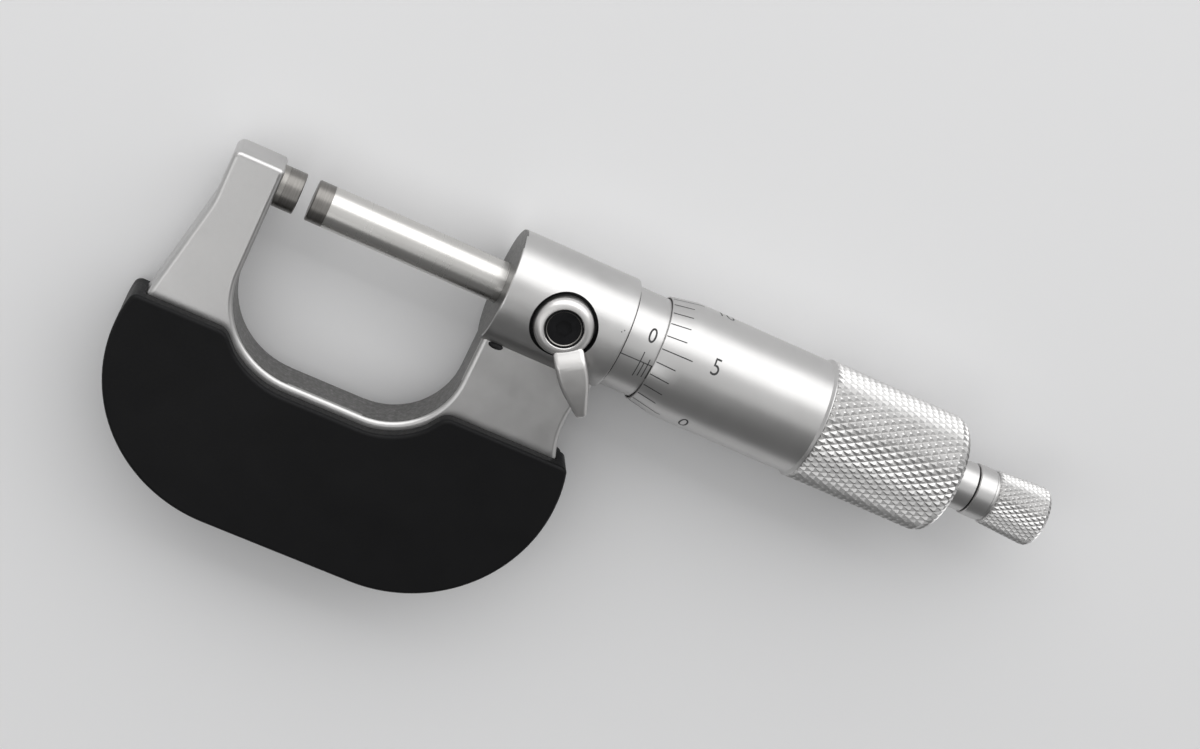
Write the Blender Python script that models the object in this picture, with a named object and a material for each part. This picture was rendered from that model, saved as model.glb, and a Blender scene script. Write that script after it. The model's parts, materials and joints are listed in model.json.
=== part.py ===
"""Outside micrometer, 0 to 1 inch, lying on its back.

Everything is modelled in the tool's own axes: X runs along the spindle from the
anvil to the ratchet, Y points up across the throat, away from the grips, and Z
points out of the graduated face. X is 0 at the arm's inner face. The parent
empty then tips the whole tool onto the surface that it lies on.
"""

import math

import bmesh
import bpy
from mathutils import Matrix, Vector

MM = 0.001

# Measuring range and reading
RANGE = 25.4 * MM
READING = 1.994 * MM

# Frame, cut from plate with a turned head
FRAME_THICK = 8.6 * MM
ARM_WIDTH = 7.9 * MM
ARM_TOP = 3.5 * MM
ARM_TOP_OUTER_RADIUS = 1.2 * MM
ARM_TOP_INNER_RADIUS = 0.8 * MM
ARM_FLARE_START = 5.2 * MM
ARM_FLARE_RADIUS = 18.0 * MM
THROAT_WIDTH = 36.9 * MM
THROAT_DEPTH = 27.0 * MM
THROAT_LEFT_RADIUS = 13.2 * MM
THROAT_RIGHT_RADIUS = 11.4 * MM
WAIST_INSET = 2.5 * MM
WAIST_RADIUS = 16.0 * MM
WAIST_TOP = 8.5 * MM
WAIST_ABOVE_GRIP = 6.0 * MM
BOW_DEPTH = 25.3 * MM
FRAME_EDGE_RADIUS = 0.8 * MM
HEAD_SHOULDER = 0.9 * MM
HEAD_LENGTH = 19.4 * MM
HEAD_PROUD = 0.4 * MM
HEAD_SHORT_OF_EDGE = 0.5 * MM
HEAD_EDGE = 0.35 * MM

# Grips, one on each side, that wrap the frame's lower rim
GRIP_THICK = 2.3 * MM
GRIP_WALL = 1.7 * MM
GRIP_CORNER_RADIUS = 24.0 * MM
GRIP_LEFT_OVERHANG = 14.0 * MM
GRIP_RIGHT_OVERHANG = 21.5 * MM
GRIP_RISE_LEFT = 4.7 * MM
GRIP_RISE_RIGHT = 5.8 * MM
REAR_GRIP_DROP = 1.6 * MM
GRIP_RIM = 1.3 * MM
GRIP_SHOULDER_RADIUS = 2.5 * MM
GRIP_TIP_RADIUS = 1.2 * MM
GRIP_EDGE_RADIUS = 0.6 * MM
PEG_RADIUS = 2.2 * MM
PEG_PIN_RADIUS = 1.1 * MM
PEG_BELOW_THROAT = 13.0 * MM
PEG_PITCH = 21.0 * MM
PEG_COUNT = 3

# Anvil and spindle
SPINDLE_RADIUS = 3.25 * MM
ANVIL_PROTRUSION = 3.4 * MM
TIP_LENGTH = 2.6 * MM
ANVIL_SHANK_RADIUS = 2.5 * MM
ANVIL_SHANK_LENGTH = 5.4 * MM
FACE_CHAMFER = 0.15 * MM
THREAD_PROUD = 0.2 * MM
THREAD_RELIEF = 0.4 * MM
TAPER_LARGE_RADIUS = 3.2 * MM
TAPER_SMALL_RADIUS = 2.6 * MM
TAPER_LENGTH = 6.0 * MM

# Inner sleeve, graduated sleeve and adjusting nut
JOURNAL_START = 3.8 * MM
JOURNAL_LENGTH = 11.5 * MM
SHANK_RADIUS = 5.2 * MM
BODY_RADIUS = 6.4 * MM
BODY_TAIL_STEP = 0.7 * MM
NUT_THREAD_LENGTH = 13.0 * MM
TAIL_LENGTH = 6.4 * MM
SLIT_WIDTH = 0.5 * MM
SLIT_COUNT = 3
SLEEVE_WALL = 1.67 * MM
SLEEVE_EDGE = 0.15 * MM
SLEEVE_PAST_SCALE = 1.6 * MM
SPANNER_HOLE_RADIUS = 0.9 * MM
SPANNER_HOLE_INSET = 2.0 * MM
ADJUSTING_NUT_INSET = 0.5 * MM
ADJUSTING_NUT_LENGTH = 4.0 * MM
ADJUSTING_NUT_NOTCHES = 4
ADJUSTING_NUT_NOTCH = 1.2 * MM

# Thimble
VISIBLE_SLEEVE = 5.5 * MM
THIMBLE_CLEARANCE = 0.22 * MM
THIMBLE_EDGE_WALL = 0.23 * MM
THIMBLE_WALL = 1.08 * MM
READING_CONE_LENGTH = 4.4 * MM
THIMBLE_SMOOTH_LENGTH = 27.4 * MM
THIMBLE_WALL_AT_END = 9.4 * MM
THIMBLE_END_FACE = 1.4 * MM
THIMBLE_END_DISH = 0.5 * MM

# Knurls: crossing grooves that leave rows of pointed diamonds
KNURL_PROUD = 0.4 * MM
KNURL_LENGTH = 26.1 * MM
KNURL_LEAD_CHAMFER = 0.4 * MM
KNURL_LAND = 0.15 * MM
KNURL_END_RADIUS = 1.8 * MM
KNURL_DEPTH = 0.34 * MM
KNURL_COUNT = 36
KNURL_HELIX = math.radians(30.0)
KNURL_SHALLOW_END = 0.35

# Ratchet stop
RATCHET_RING_RADIUS = 3.9 * MM
RATCHET_RING_LENGTH = 3.0 * MM
RATCHET_GAP = 0.25 * MM
RATCHET_STUD_RADIUS = 1.5 * MM
RATCHET_STUD_LENGTH = 8.0 * MM
ARBOR_RADIUS = 2.0 * MM
ARBOR_LENGTH = 9.6 * MM
TOOTH_COUNT = 12
TOOTH_HEIGHT = 0.55 * MM
TOOTH_ROOT_LENGTH = 0.6 * MM
TOOTH_RING_RADIUS = 3.2 * MM
TOOTH_CLEARANCE = 0.12 * MM
TOOTH_RISE_SHARE = 0.98
RATCHET_RING_BODY = 1.5 * MM
KNOB_COLLAR_RADIUS = 4.3 * MM
KNOB_COLLAR_LENGTH = 3.1 * MM
KNOB_GROOVE = 0.2 * MM
KNOB_KNURL_DEPTH = 0.24 * MM
KNOB_KNURL_COUNT = 24
KNOB_START_RADIUS = 4.5 * MM
KNOB_END_RADIUS = 5.0 * MM
KNOB_LENGTH = 12.9 * MM
KNOB_ROUNDING = 1.3 * MM
KNOB_BORE_RADIUS = 3.45 * MM
KNOB_FLOOR = 1.6 * MM
KNOB_RECESS = 1.8 * MM
SPRING_WIRE_RADIUS = 0.22 * MM
SPRING_RADIUS = 2.7 * MM
SPRING_TURNS = 4.5
SCREW_HEAD_RADIUS = 2.5 * MM
SCREW_HEAD_LENGTH = 1.4 * MM
SCREW_SHANK_RADIUS = 1.1 * MM
SCREW_SHANK_LENGTH = 6.0 * MM
SCREW_SLOT = 0.6 * MM

# Spindle lock
LOCK_STATION = 10.0 * MM
LOCK_RECESS_RADIUS = 5.2 * MM
LOCK_RECESS_WALL = 1.2 * MM
HUB_RADIUS = 4.6 * MM
HUB_PROUD = 0.85 * MM
HUB_SHOULDER = 1.3 * MM
HUB_COUNTERBORE_DEPTH = 1.5 * MM
WASHER_THICK = 0.25 * MM
WASHER_RADIUS = 3.9 * MM
PLUG_RADIUS = 2.93 * MM
PLUG_BELOW_HUB = 0.2 * MM
PLUG_SOCKET_RADIUS = 1.35 * MM
PLUG_SOCKET_DEPTH = 0.7 * MM
CLAMP_SCREW_RADIUS = 1.5 * MM
SLUG_RADIUS = 1.3 * MM
SLUG_LENGTH = 1.3 * MM
LEVER_ANGLE = math.radians(-57.0)
LEVER_START = 3.3 * MM
LEVER_BELLY = 8.3 * MM
LEVER_LENGTH = 14.4 * MM
LEVER_NEAR_SIDE = 2.15 * MM
LEVER_FAR_SIDE = 2.75 * MM
LEVER_NECK = 0.35 * MM
LEVER_TIP_WIDTH = 1.5 * MM
LEVER_TIP_OFFSET = 0.75 * MM
LEVER_TIP_RADIUS = 0.74 * MM
LEVER_SIDE_RADIUS = 14.0 * MM
LEVER_CORNER_RADIUS = 0.8 * MM
LEVER_BELOW_HUB = 0.9 * MM
LEVER_THICK = 1.9 * MM
LEVER_EDGE = 0.7 * MM

# Clearances
FIXED_GAP = 0.03 * MM
RUNNING_GAP = 0.06 * MM
SEAT_GAP = 0.1 * MM
CUT_MARGIN = 1.0 * MM

# Facets round a full circle, and steps along an arc
FINE = 44
MEDIUM = 28
COARSE = 20
HIDDEN = 16
RIM_STEPS = 11
THROAT_STEPS = 8
FILLET_STEPS = 6
LEVER_STEPS = 4
EDGE_STEPS = 2
LEVER_EDGE_STEPS = 3
TOOTH_STEPS = 2
HEXAGON = 6
ROUNDING_STEPS = 4
SPRING_STEPS = 10
FILLET_SHARE = 0.9
SHARP_ANGLE = math.radians(32.0)

# Radii and widths that fit together, worked out from the sizes above
GRIP_WIDTH = GRIP_LEFT_OVERHANG + THROAT_WIDTH + GRIP_RIGHT_OVERHANG
GRIP_DEPTH = THROAT_DEPTH + BOW_DEPTH
GRIP_TOP_LEFT = THROAT_DEPTH - GRIP_RISE_LEFT
GRIP_TOP_RIGHT = THROAT_DEPTH - GRIP_RISE_RIGHT
WAIST_DEPTH = GRIP_TOP_RIGHT - WAIST_ABOVE_GRIP
PEG_DEPTH = THROAT_DEPTH + PEG_BELOW_THROAT
THREAD_RADIUS = SPINDLE_RADIUS + THREAD_PROUD
BODY_TAIL_RADIUS = BODY_RADIUS - BODY_TAIL_STEP
SLEEVE_RADIUS = BODY_RADIUS + FIXED_GAP + SLEEVE_WALL
ADJUSTING_NUT_RADIUS = SLEEVE_RADIUS - ADJUSTING_NUT_INSET
THIMBLE_BORE_RADIUS = SLEEVE_RADIUS + THIMBLE_CLEARANCE
THIMBLE_EDGE_RADIUS = THIMBLE_BORE_RADIUS + THIMBLE_EDGE_WALL
THIMBLE_RADIUS = THIMBLE_BORE_RADIUS + THIMBLE_WALL
KNURL_RADIUS = THIMBLE_RADIUS + KNURL_PROUD
THIMBLE_END_FACE_RADIUS = KNURL_RADIUS - KNURL_END_RADIUS - THIMBLE_END_FACE
HEAD_RADIUS = SLEEVE_RADIUS + HEAD_SHOULDER
LOCK_RECESS_FLOOR = SHANK_RADIUS + LOCK_RECESS_WALL
HUB_TOP = HEAD_RADIUS + HUB_PROUD
LEVER_UNDERSIDE = HUB_TOP - LEVER_BELOW_HUB

# Stations along the spindle axis, worked out from the sizes above
ANVIL_FACE = ANVIL_PROTRUSION
SPINDLE_FACE = ANVIL_FACE + READING
HEAD_START = THROAT_WIDTH - HEAD_PROUD
HEAD_END = HEAD_START + HEAD_LENGTH
FRAME_RIGHT = HEAD_END - HEAD_SHORT_OF_EDGE
THIMBLE_START = HEAD_END + VISIBLE_SLEEVE
SCALE_ZERO = THIMBLE_START - READING
SLEEVE_END = SCALE_ZERO + RANGE + SLEEVE_PAST_SCALE
INNER_SLEEVE_END = SLEEVE_END + TAIL_LENGTH
NUT_THREAD_START = INNER_SLEEVE_END - NUT_THREAD_LENGTH
KNURL_START = THIMBLE_START + THIMBLE_SMOOTH_LENGTH
THIMBLE_END = KNURL_START + KNURL_LENGTH
TAPER_START = THIMBLE_END - THIMBLE_WALL_AT_END
THREAD_START = NUT_THREAD_START - (RANGE - READING) - THREAD_RELIEF
THREAD_END = INNER_SLEEVE_END + READING + THREAD_RELIEF
LOCK_X = HEAD_START + LOCK_STATION
KNOB_START = THIMBLE_END + SEAT_GAP + RATCHET_RING_LENGTH + RATCHET_GAP
KNOB_END = KNOB_START + KNOB_LENGTH

# Colours of the bare metals and plastics
SATIN_CHROME = ((0.56, 0.55, 0.54), 0.34, 1.0)
GROUND_STEEL = ((0.58, 0.57, 0.55), 0.18, 1.0)
CARBIDE = ((0.16, 0.155, 0.15), 0.3, 1.0)
MATT_BLACK = ((0.012, 0.012, 0.013), 0.45, 0.0)
BLACK_OXIDE = ((0.02, 0.02, 0.022), 0.2, 0.6)
BRASS = ((0.6, 0.43, 0.2), 0.35, 1.0)


def clear_scene():
    """Empty the scene before modelling."""
    for item in list(bpy.data.objects):
        bpy.data.objects.remove(item, do_unlink=True)


def material(name, finish):
    """Give a principled material of one colour, roughness and metallic value."""
    colour, roughness, metallic = finish
    made = bpy.data.materials.new(name)
    made.use_nodes = True
    shader = made.node_tree.nodes["Principled BSDF"]
    shader.inputs["Base Color"].default_value = (*colour, 1.0)
    shader.inputs["Roughness"].default_value = roughness
    shader.inputs["Metallic"].default_value = metallic
    made.diffuse_color = (*colour, 1.0)
    return made


def to_object(name, bm, finish, smooth=True):
    """Turn a bmesh into a named object with its own material."""
    bmesh.ops.recalc_face_normals(bm, faces=bm.faces)
    mesh = bpy.data.meshes.new(name)
    bm.to_mesh(mesh)
    bm.free()
    if smooth:
        mesh.shade_smooth()
        mesh.set_sharp_from_angle(angle=SHARP_ANGLE)
    made = bpy.data.objects.new(name, mesh)
    bpy.context.scene.collection.objects.link(made)
    if finish is not None:
        mesh.materials.append(material(name, finish))
    return made


def turned_mesh(profile, steps):
    """Spin a closed profile of (x, radius) points about the X axis."""
    bm = bmesh.new()
    points = [bm.verts.new((x, 0.0, radius)) for x, radius in profile]
    on_axis = [radius < 1e-9 for _, radius in profile]
    edges = []
    for index in range(len(points)):
        follower = (index + 1) % len(points)
        if not (on_axis[index] and on_axis[follower]):
            edges.append(bm.edges.new((points[index], points[follower])))
    bmesh.ops.spin(bm, geom=points + edges, cent=(0.0, 0.0, 0.0), axis=(1.0, 0.0, 0.0),
                   angle=2.0 * math.pi, steps=steps, use_merge=True)
    bmesh.ops.remove_doubles(bm, verts=bm.verts, dist=1e-7)
    return bm


def turned(name, profile, steps, finish):
    """Make a turned piece."""
    return to_object(name, turned_mesh(profile, steps), finish)


def arc(centre, radius, start, end, steps):
    """Points on an arc, both ends included, angles in radians."""
    points = []
    for index in range(steps + 1):
        angle = start + (end - start) * index / steps
        points.append((centre[0] + radius * math.cos(angle), centre[1] + radius * math.sin(angle)))
    return points


def filleted(corners, fillet_steps):
    """Closed outline through (x, y, radius) corners, each rounded by its radius.

    A fillet is limited by the straights beside it.
    """
    outline = []
    for index, (x, y, radius) in enumerate(corners):
        corner = Vector((x, y))
        if radius <= 0.0:
            outline.append((x, y))
            continue
        before = Vector(corners[index - 1][:2]) - corner
        after = Vector(corners[(index + 1) % len(corners)][:2]) - corner
        half = before.angle(after) / 2.0
        reach = min(radius / math.tan(half), FILLET_SHARE * min(before.length, after.length))
        radius = reach * math.tan(half)
        bisector = (before.normalized() + after.normalized()).normalized()
        centre = corner + bisector * (radius / math.sin(half))
        first = corner + before.normalized() * reach - centre
        last = corner + after.normalized() * reach - centre
        turn = first.angle_signed(last)
        for step in range(fillet_steps + 1):
            swing = Matrix.Rotation(-turn * step / fillet_steps, 2)
            outline.append(tuple(centre + swing @ first))
    return outline


def plate_mesh(outline, low, high, low_edge=0.0, high_edge=0.0, edge_steps=EDGE_STEPS):
    """Extrude an outline from low to high along Z, with rounded edge loops."""
    bm = bmesh.new()
    base = bm.faces.new([bm.verts.new((x, y, low)) for x, y in outline])
    raised = bmesh.ops.extrude_face_region(bm, geom=[base])["geom"]
    lifted = [item for item in raised if isinstance(item, bmesh.types.BMVert)]
    bmesh.ops.translate(bm, verts=lifted, vec=(0.0, 0.0, high - low))
    for level, width in ((low, low_edge), (high, high_edge)):
        if width <= 0.0:
            continue
        rim = [edge for edge in bm.edges
               if all(abs(vert.co.z - level) < 1e-7 for vert in edge.verts)]
        bmesh.ops.bevel(bm, geom=rim, offset=width, segments=edge_steps,
                        profile=0.5, affect="EDGES", clamp_overlap=True)
    return bm


def shift(bm, matrix):
    """Move a whole bmesh by a matrix."""
    bmesh.ops.transform(bm, matrix=matrix, verts=bm.verts)
    return bm


def upright(bm, x, y):
    """Stand a mesh turned about X on end, so that its X becomes +Z at (x, y)."""
    stand = Matrix.Rotation(math.radians(-90.0), 4, "Y")
    return shift(bm, Matrix.Translation((x, y, 0.0)) @ stand)


def cutter(name, bm):
    """Make a helper that only cuts or joins, and never shows."""
    made = to_object(name, bm, None, smooth=False)
    made.hide_render = True
    made.display_type = "WIRE"
    return made


def combine(target, helper, operation):
    """Apply one exact Boolean between a piece and a helper."""
    change = target.modifiers.new(operation.lower(), "BOOLEAN")
    change.operation = operation
    change.solver = "EXACT"
    change.object = helper
    return change


def frame_centres():
    """Centres of the two big lower corners that frame and grips share."""
    left = -GRIP_LEFT_OVERHANG + GRIP_CORNER_RADIUS
    right = GRIP_WIDTH - GRIP_LEFT_OVERHANG - GRIP_CORNER_RADIUS
    level = -GRIP_DEPTH + GRIP_CORNER_RADIUS
    return (left, level), (right, level)


def rim_angle(rise, radius):
    """Angle above horizontal at which a corner circle reaches a height."""
    return math.asin(rise / radius)


def lower_rim(radius, left_top, right_top, steps):
    """The D-shaped lower rim, from the right top round to the left top."""
    left, right = frame_centres()
    start = rim_angle(right[1] * -1.0 - right_top, radius)
    finish = rim_angle(left[1] * -1.0 - left_top, radius)
    quarter = math.radians(90.0)
    rim = arc(right, radius, start, -quarter, steps)
    rim += arc(left, radius, -quarter, -2.0 * quarter - finish, steps)
    return rim


def frame_outline():
    """Side view of the frame, without its head."""
    rim_radius = GRIP_CORNER_RADIUS - GRIP_WALL - SEAT_GAP
    rim = lower_rim(rim_radius, GRIP_TOP_LEFT, GRIP_TOP_RIGHT, RIM_STEPS)
    corners = [
        (-ARM_WIDTH, ARM_TOP, ARM_TOP_OUTER_RADIUS),
        (0.0, ARM_TOP, ARM_TOP_INNER_RADIUS),
        (0.0, -THROAT_DEPTH, THROAT_LEFT_RADIUS),
        (THROAT_WIDTH, -THROAT_DEPTH, THROAT_RIGHT_RADIUS),
        (THROAT_WIDTH, -SPINDLE_RADIUS, 0.0),
        (FRAME_RIGHT, -SPINDLE_RADIUS, 0.0),
        (FRAME_RIGHT, -WAIST_TOP, 0.0),
        (FRAME_RIGHT - WAIST_INSET, -WAIST_DEPTH, WAIST_RADIUS),
    ]
    corners += [(x, y, 0.0) for x, y in rim]
    corners.append((-ARM_WIDTH, -ARM_FLARE_START, ARM_FLARE_RADIUS))
    return filleted(corners, FILLET_STEPS)


def peg_places():
    """Where the grips' pegs pass through the frame."""
    middle = GRIP_WIDTH / 2.0 - GRIP_LEFT_OVERHANG
    offset = (PEG_COUNT - 1) / 2.0
    return [(middle + (index - offset) * PEG_PITCH, -PEG_DEPTH) for index in range(PEG_COUNT)]


def make_frame():
    """Cast frame: U plate, turned head, bores, lock recess and peg holes."""
    half = FRAME_THICK / 2.0
    body = plate_mesh(frame_outline(), -half, half, FRAME_EDGE_RADIUS, FRAME_EDGE_RADIUS)
    frame = to_object("frame", body, SATIN_CHROME)
    head = turned_mesh([
        (HEAD_START, 0.0), (HEAD_START, HEAD_RADIUS - HEAD_EDGE),
        (HEAD_START + HEAD_EDGE, HEAD_RADIUS), (HEAD_END - HEAD_EDGE, HEAD_RADIUS),
        (HEAD_END, HEAD_RADIUS - HEAD_EDGE), (HEAD_END, 0.0)], FINE)
    combine(frame, cutter("head_form", head), "UNION")
    bore = turned_mesh([
        (HEAD_START - CUT_MARGIN, 0.0), (HEAD_START - CUT_MARGIN, SPINDLE_RADIUS + RUNNING_GAP),
        (HEAD_START + JOURNAL_START, SPINDLE_RADIUS + RUNNING_GAP),
        (HEAD_START + JOURNAL_START, SHANK_RADIUS + FIXED_GAP),
        (HEAD_END + CUT_MARGIN, SHANK_RADIUS + FIXED_GAP), (HEAD_END + CUT_MARGIN, 0.0)], MEDIUM)
    combine(frame, cutter("head_bore", bore), "DIFFERENCE")
    recess = upright(turned_mesh([
        (SHANK_RADIUS / 2.0, 0.0), (SHANK_RADIUS / 2.0, CLAMP_SCREW_RADIUS + RUNNING_GAP),
        (LOCK_RECESS_FLOOR, CLAMP_SCREW_RADIUS + RUNNING_GAP), (LOCK_RECESS_FLOOR, LOCK_RECESS_RADIUS),
        (HEAD_RADIUS + CUT_MARGIN, LOCK_RECESS_RADIUS), (HEAD_RADIUS + CUT_MARGIN, 0.0)],
        MEDIUM), LOCK_X, 0.0)
    combine(frame, cutter("lock_recess", recess), "DIFFERENCE")
    seat_end = -ANVIL_SHANK_LENGTH - SEAT_GAP
    seat_radius = ANVIL_SHANK_RADIUS + FIXED_GAP
    seat = turned_mesh([
        (seat_end, 0.0), (seat_end, seat_radius), (CUT_MARGIN, seat_radius), (CUT_MARGIN, 0.0)], COARSE)
    combine(frame, cutter("anvil_seat", seat), "DIFFERENCE")
    for index, (x, y) in enumerate(peg_places()):
        hole = upright(turned_mesh([
            (-half - CUT_MARGIN, 0.0), (-half - CUT_MARGIN, PEG_RADIUS + SEAT_GAP),
            (half + CUT_MARGIN, PEG_RADIUS + SEAT_GAP), (half + CUT_MARGIN, 0.0)], HIDDEN), x, y)
        combine(frame, cutter("peg_hole_%d" % (index + 1), hole), "DIFFERENCE")
    return frame


def grip_outline(drop):
    """Front view of a grip: the D of the rim, open round the throat, its top edges lowered."""
    left_top = GRIP_TOP_LEFT + drop
    right_top = GRIP_TOP_RIGHT + drop
    rim = lower_rim(GRIP_CORNER_RADIUS, left_top, right_top, RIM_STEPS)
    left = (THROAT_LEFT_RADIUS, -THROAT_DEPTH + THROAT_LEFT_RADIUS)
    right = (THROAT_WIDTH - THROAT_RIGHT_RADIUS, -THROAT_DEPTH + THROAT_RIGHT_RADIUS)
    left_reach = THROAT_LEFT_RADIUS + GRIP_RIM
    right_reach = THROAT_RIGHT_RADIUS + GRIP_RIM
    quarter = math.radians(90.0)
    left_start = -2.0 * quarter + rim_angle(left_top + left[1], left_reach)
    right_end = -rim_angle(right_top + right[1], right_reach)
    throat = arc(left, left_reach, left_start, -quarter, THROAT_STEPS)
    throat += arc(right, right_reach, -quarter, right_end, THROAT_STEPS)
    corners = [(*rim[0], GRIP_TIP_RADIUS)]
    corners += [(x, y, 0.0) for x, y in rim[1:-1]]
    corners.append((*rim[-1], GRIP_TIP_RADIUS))
    corners.append((*throat[0], GRIP_SHOULDER_RADIUS))
    corners += [(x, y, 0.0) for x, y in throat[2:-2]]
    corners.append((*throat[-1], GRIP_SHOULDER_RADIUS))
    return filleted(corners, FILLET_STEPS)


def grip_pocket_outline(drop):
    """The room inside a grip's wall, open at the top."""
    radius = GRIP_CORNER_RADIUS - GRIP_WALL
    rim = lower_rim(radius, GRIP_TOP_LEFT + drop, GRIP_TOP_RIGHT + drop, RIM_STEPS)
    top = CUT_MARGIN - THROAT_DEPTH / 2.0
    return rim + [(rim[-1][0], top), (rim[0][0], top)]


def peg_profile(side):
    """Half section of a peg: a socket on the front grip, a pin on the back one."""
    floor = FRAME_THICK / 2.0 + SEAT_GAP
    root = side * (floor + GRIP_THICK / 2.0)
    parting = side * SEAT_GAP / 2.0
    if side > 0:
        bore = PEG_PIN_RADIUS + SEAT_GAP
        depth = floor / 2.0 + SEAT_GAP
        return [(root, 0.0), (root, PEG_RADIUS), (parting, PEG_RADIUS), (parting, bore),
                (depth, bore), (depth, 0.0)]
    tip = floor / 2.0
    return [(root, 0.0), (root, PEG_RADIUS), (parting, PEG_RADIUS), (parting, PEG_PIN_RADIUS),
            (tip, PEG_PIN_RADIUS), (tip, 0.0)]


def make_grip(name, side, drop):
    """One grip; side is 1 for the front and -1 for the back."""
    floor = FRAME_THICK / 2.0 + SEAT_GAP
    mirror = Matrix.Scale(side, 4, (0.0, 0.0, 1.0))
    shell = plate_mesh(grip_outline(drop), SEAT_GAP / 2.0, floor + GRIP_THICK, 0.0, GRIP_EDGE_RADIUS)
    grip = to_object(name, shift(shell, mirror), MATT_BLACK)
    pocket = plate_mesh(grip_pocket_outline(drop), -CUT_MARGIN, floor)
    combine(grip, cutter(name + "_pocket", shift(pocket, mirror)), "DIFFERENCE")
    for index, (x, y) in enumerate(peg_places()):
        peg = upright(turned_mesh(peg_profile(side), HIDDEN), x, y)
        combine(grip, cutter("%s_peg_%d" % (name, index + 1), peg), "UNION")
    return grip


def make_anvil():
    """Steel anvil pressed into the arm."""
    body_end = ANVIL_FACE - TIP_LENGTH - FIXED_GAP
    return turned("anvil", [
        (-ANVIL_SHANK_LENGTH, 0.0), (-ANVIL_SHANK_LENGTH, ANVIL_SHANK_RADIUS),
        (SEAT_GAP, ANVIL_SHANK_RADIUS), (SEAT_GAP, SPINDLE_RADIUS), (body_end, SPINDLE_RADIUS),
        (body_end, 0.0)], MEDIUM, GROUND_STEEL)


def make_tip(name, back, face):
    """Carbide disc with a lapped face; it runs from its back to its face."""
    inward = math.copysign(FACE_CHAMFER, back - face)
    return turned(name, [
        (back, 0.0), (back, SPINDLE_RADIUS), (face + inward, SPINDLE_RADIUS),
        (face, SPINDLE_RADIUS - FACE_CHAMFER), (face, 0.0)], MEDIUM, CARBIDE)


def make_inner_sleeve():
    """Spindle guide: shank in the head, body under the scale, slit nut at the end."""
    start = HEAD_START + JOURNAL_START + SEAT_GAP
    journal_end = start + JOURNAL_LENGTH
    slip = SPINDLE_RADIUS + RUNNING_GAP
    screw_room = THREAD_RADIUS + 2.0 * RUNNING_GAP
    sleeve = turned("inner_sleeve", [
        (start, slip), (start, SHANK_RADIUS), (HEAD_END + SEAT_GAP, SHANK_RADIUS),
        (HEAD_END + SEAT_GAP, BODY_RADIUS),
        (SLEEVE_END, BODY_RADIUS), (SLEEVE_END, BODY_TAIL_RADIUS), (INNER_SLEEVE_END, BODY_TAIL_RADIUS),
        (INNER_SLEEVE_END, THREAD_RADIUS + RUNNING_GAP), (NUT_THREAD_START, THREAD_RADIUS + RUNNING_GAP),
        (NUT_THREAD_START, screw_room + THREAD_RELIEF), (journal_end, screw_room + THREAD_RELIEF),
        (journal_end, slip)], COARSE, GROUND_STEEL)
    hole = upright(turned_mesh([
        (0.0, 0.0), (0.0, CLAMP_SCREW_RADIUS + RUNNING_GAP), (HEAD_RADIUS, CLAMP_SCREW_RADIUS + RUNNING_GAP),
        (HEAD_RADIUS, 0.0)], COARSE), LOCK_X, 0.0)
    combine(sleeve, cutter("slug_hole", hole), "DIFFERENCE")
    for index in range(SLIT_COUNT):
        slit = bmesh.new()
        bmesh.ops.create_cube(slit, size=1.0)
        length = NUT_THREAD_LENGTH - TAIL_LENGTH / 2.0
        bmesh.ops.scale(slit, vec=(length, SLIT_WIDTH, BODY_RADIUS), verts=slit.verts)
        place = Matrix.Translation((INNER_SLEEVE_END + CUT_MARGIN - length / 2.0, 0.0, BODY_RADIUS / 2.0))
        shift(slit, Matrix.Rotation(2.0 * math.pi * index / SLIT_COUNT, 4, "X") @ place)
        combine(sleeve, cutter("nut_slit_%d" % (index + 1), slit), "DIFFERENCE")
    return sleeve


def make_sleeve():
    """Graduated sleeve with the spanner hole at its back."""
    start = HEAD_END + SEAT_GAP
    bore = BODY_RADIUS + FIXED_GAP
    sleeve = turned("sleeve", [
        (start, bore), (start, SLEEVE_RADIUS), (SLEEVE_END, SLEEVE_RADIUS), (SLEEVE_END, bore)],
        FINE, SATIN_CHROME)
    hole = upright(turned_mesh([
        (-HEAD_RADIUS, 0.0), (-HEAD_RADIUS, SPANNER_HOLE_RADIUS), (-BODY_RADIUS / 2.0, SPANNER_HOLE_RADIUS),
        (-BODY_RADIUS / 2.0, 0.0)], COARSE), HEAD_END + SPANNER_HOLE_INSET, 0.0)
    combine(sleeve, cutter("spanner_hole", hole), "DIFFERENCE")
    return sleeve


def make_adjusting_nut():
    """Ring nut that closes the slit nut; it has notches for a wrench."""
    start = SLEEVE_END + (TAIL_LENGTH - ADJUSTING_NUT_LENGTH) / 2.0
    end = start + ADJUSTING_NUT_LENGTH
    bore = BODY_TAIL_RADIUS + FIXED_GAP
    nut = turned("adjusting_nut", [
        (start, bore), (start, ADJUSTING_NUT_RADIUS), (end - SLEEVE_EDGE, ADJUSTING_NUT_RADIUS),
        (end, ADJUSTING_NUT_RADIUS - SLEEVE_EDGE), (end, bore)], COARSE, GROUND_STEEL)
    for index in range(ADJUSTING_NUT_NOTCHES):
        notch = bmesh.new()
        bmesh.ops.create_cube(notch, size=1.0)
        width = ADJUSTING_NUT_NOTCH
        bmesh.ops.scale(notch, vec=(2.0 * width, width, 2.0 * width), verts=notch.verts)
        place = Matrix.Translation((end, 0.0, ADJUSTING_NUT_RADIUS))
        shift(notch, Matrix.Rotation(2.0 * math.pi * index / ADJUSTING_NUT_NOTCHES, 4, "X") @ place)
        combine(nut, cutter("nut_notch_%d" % (index + 1), notch), "DIFFERENCE")
    return nut


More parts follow.
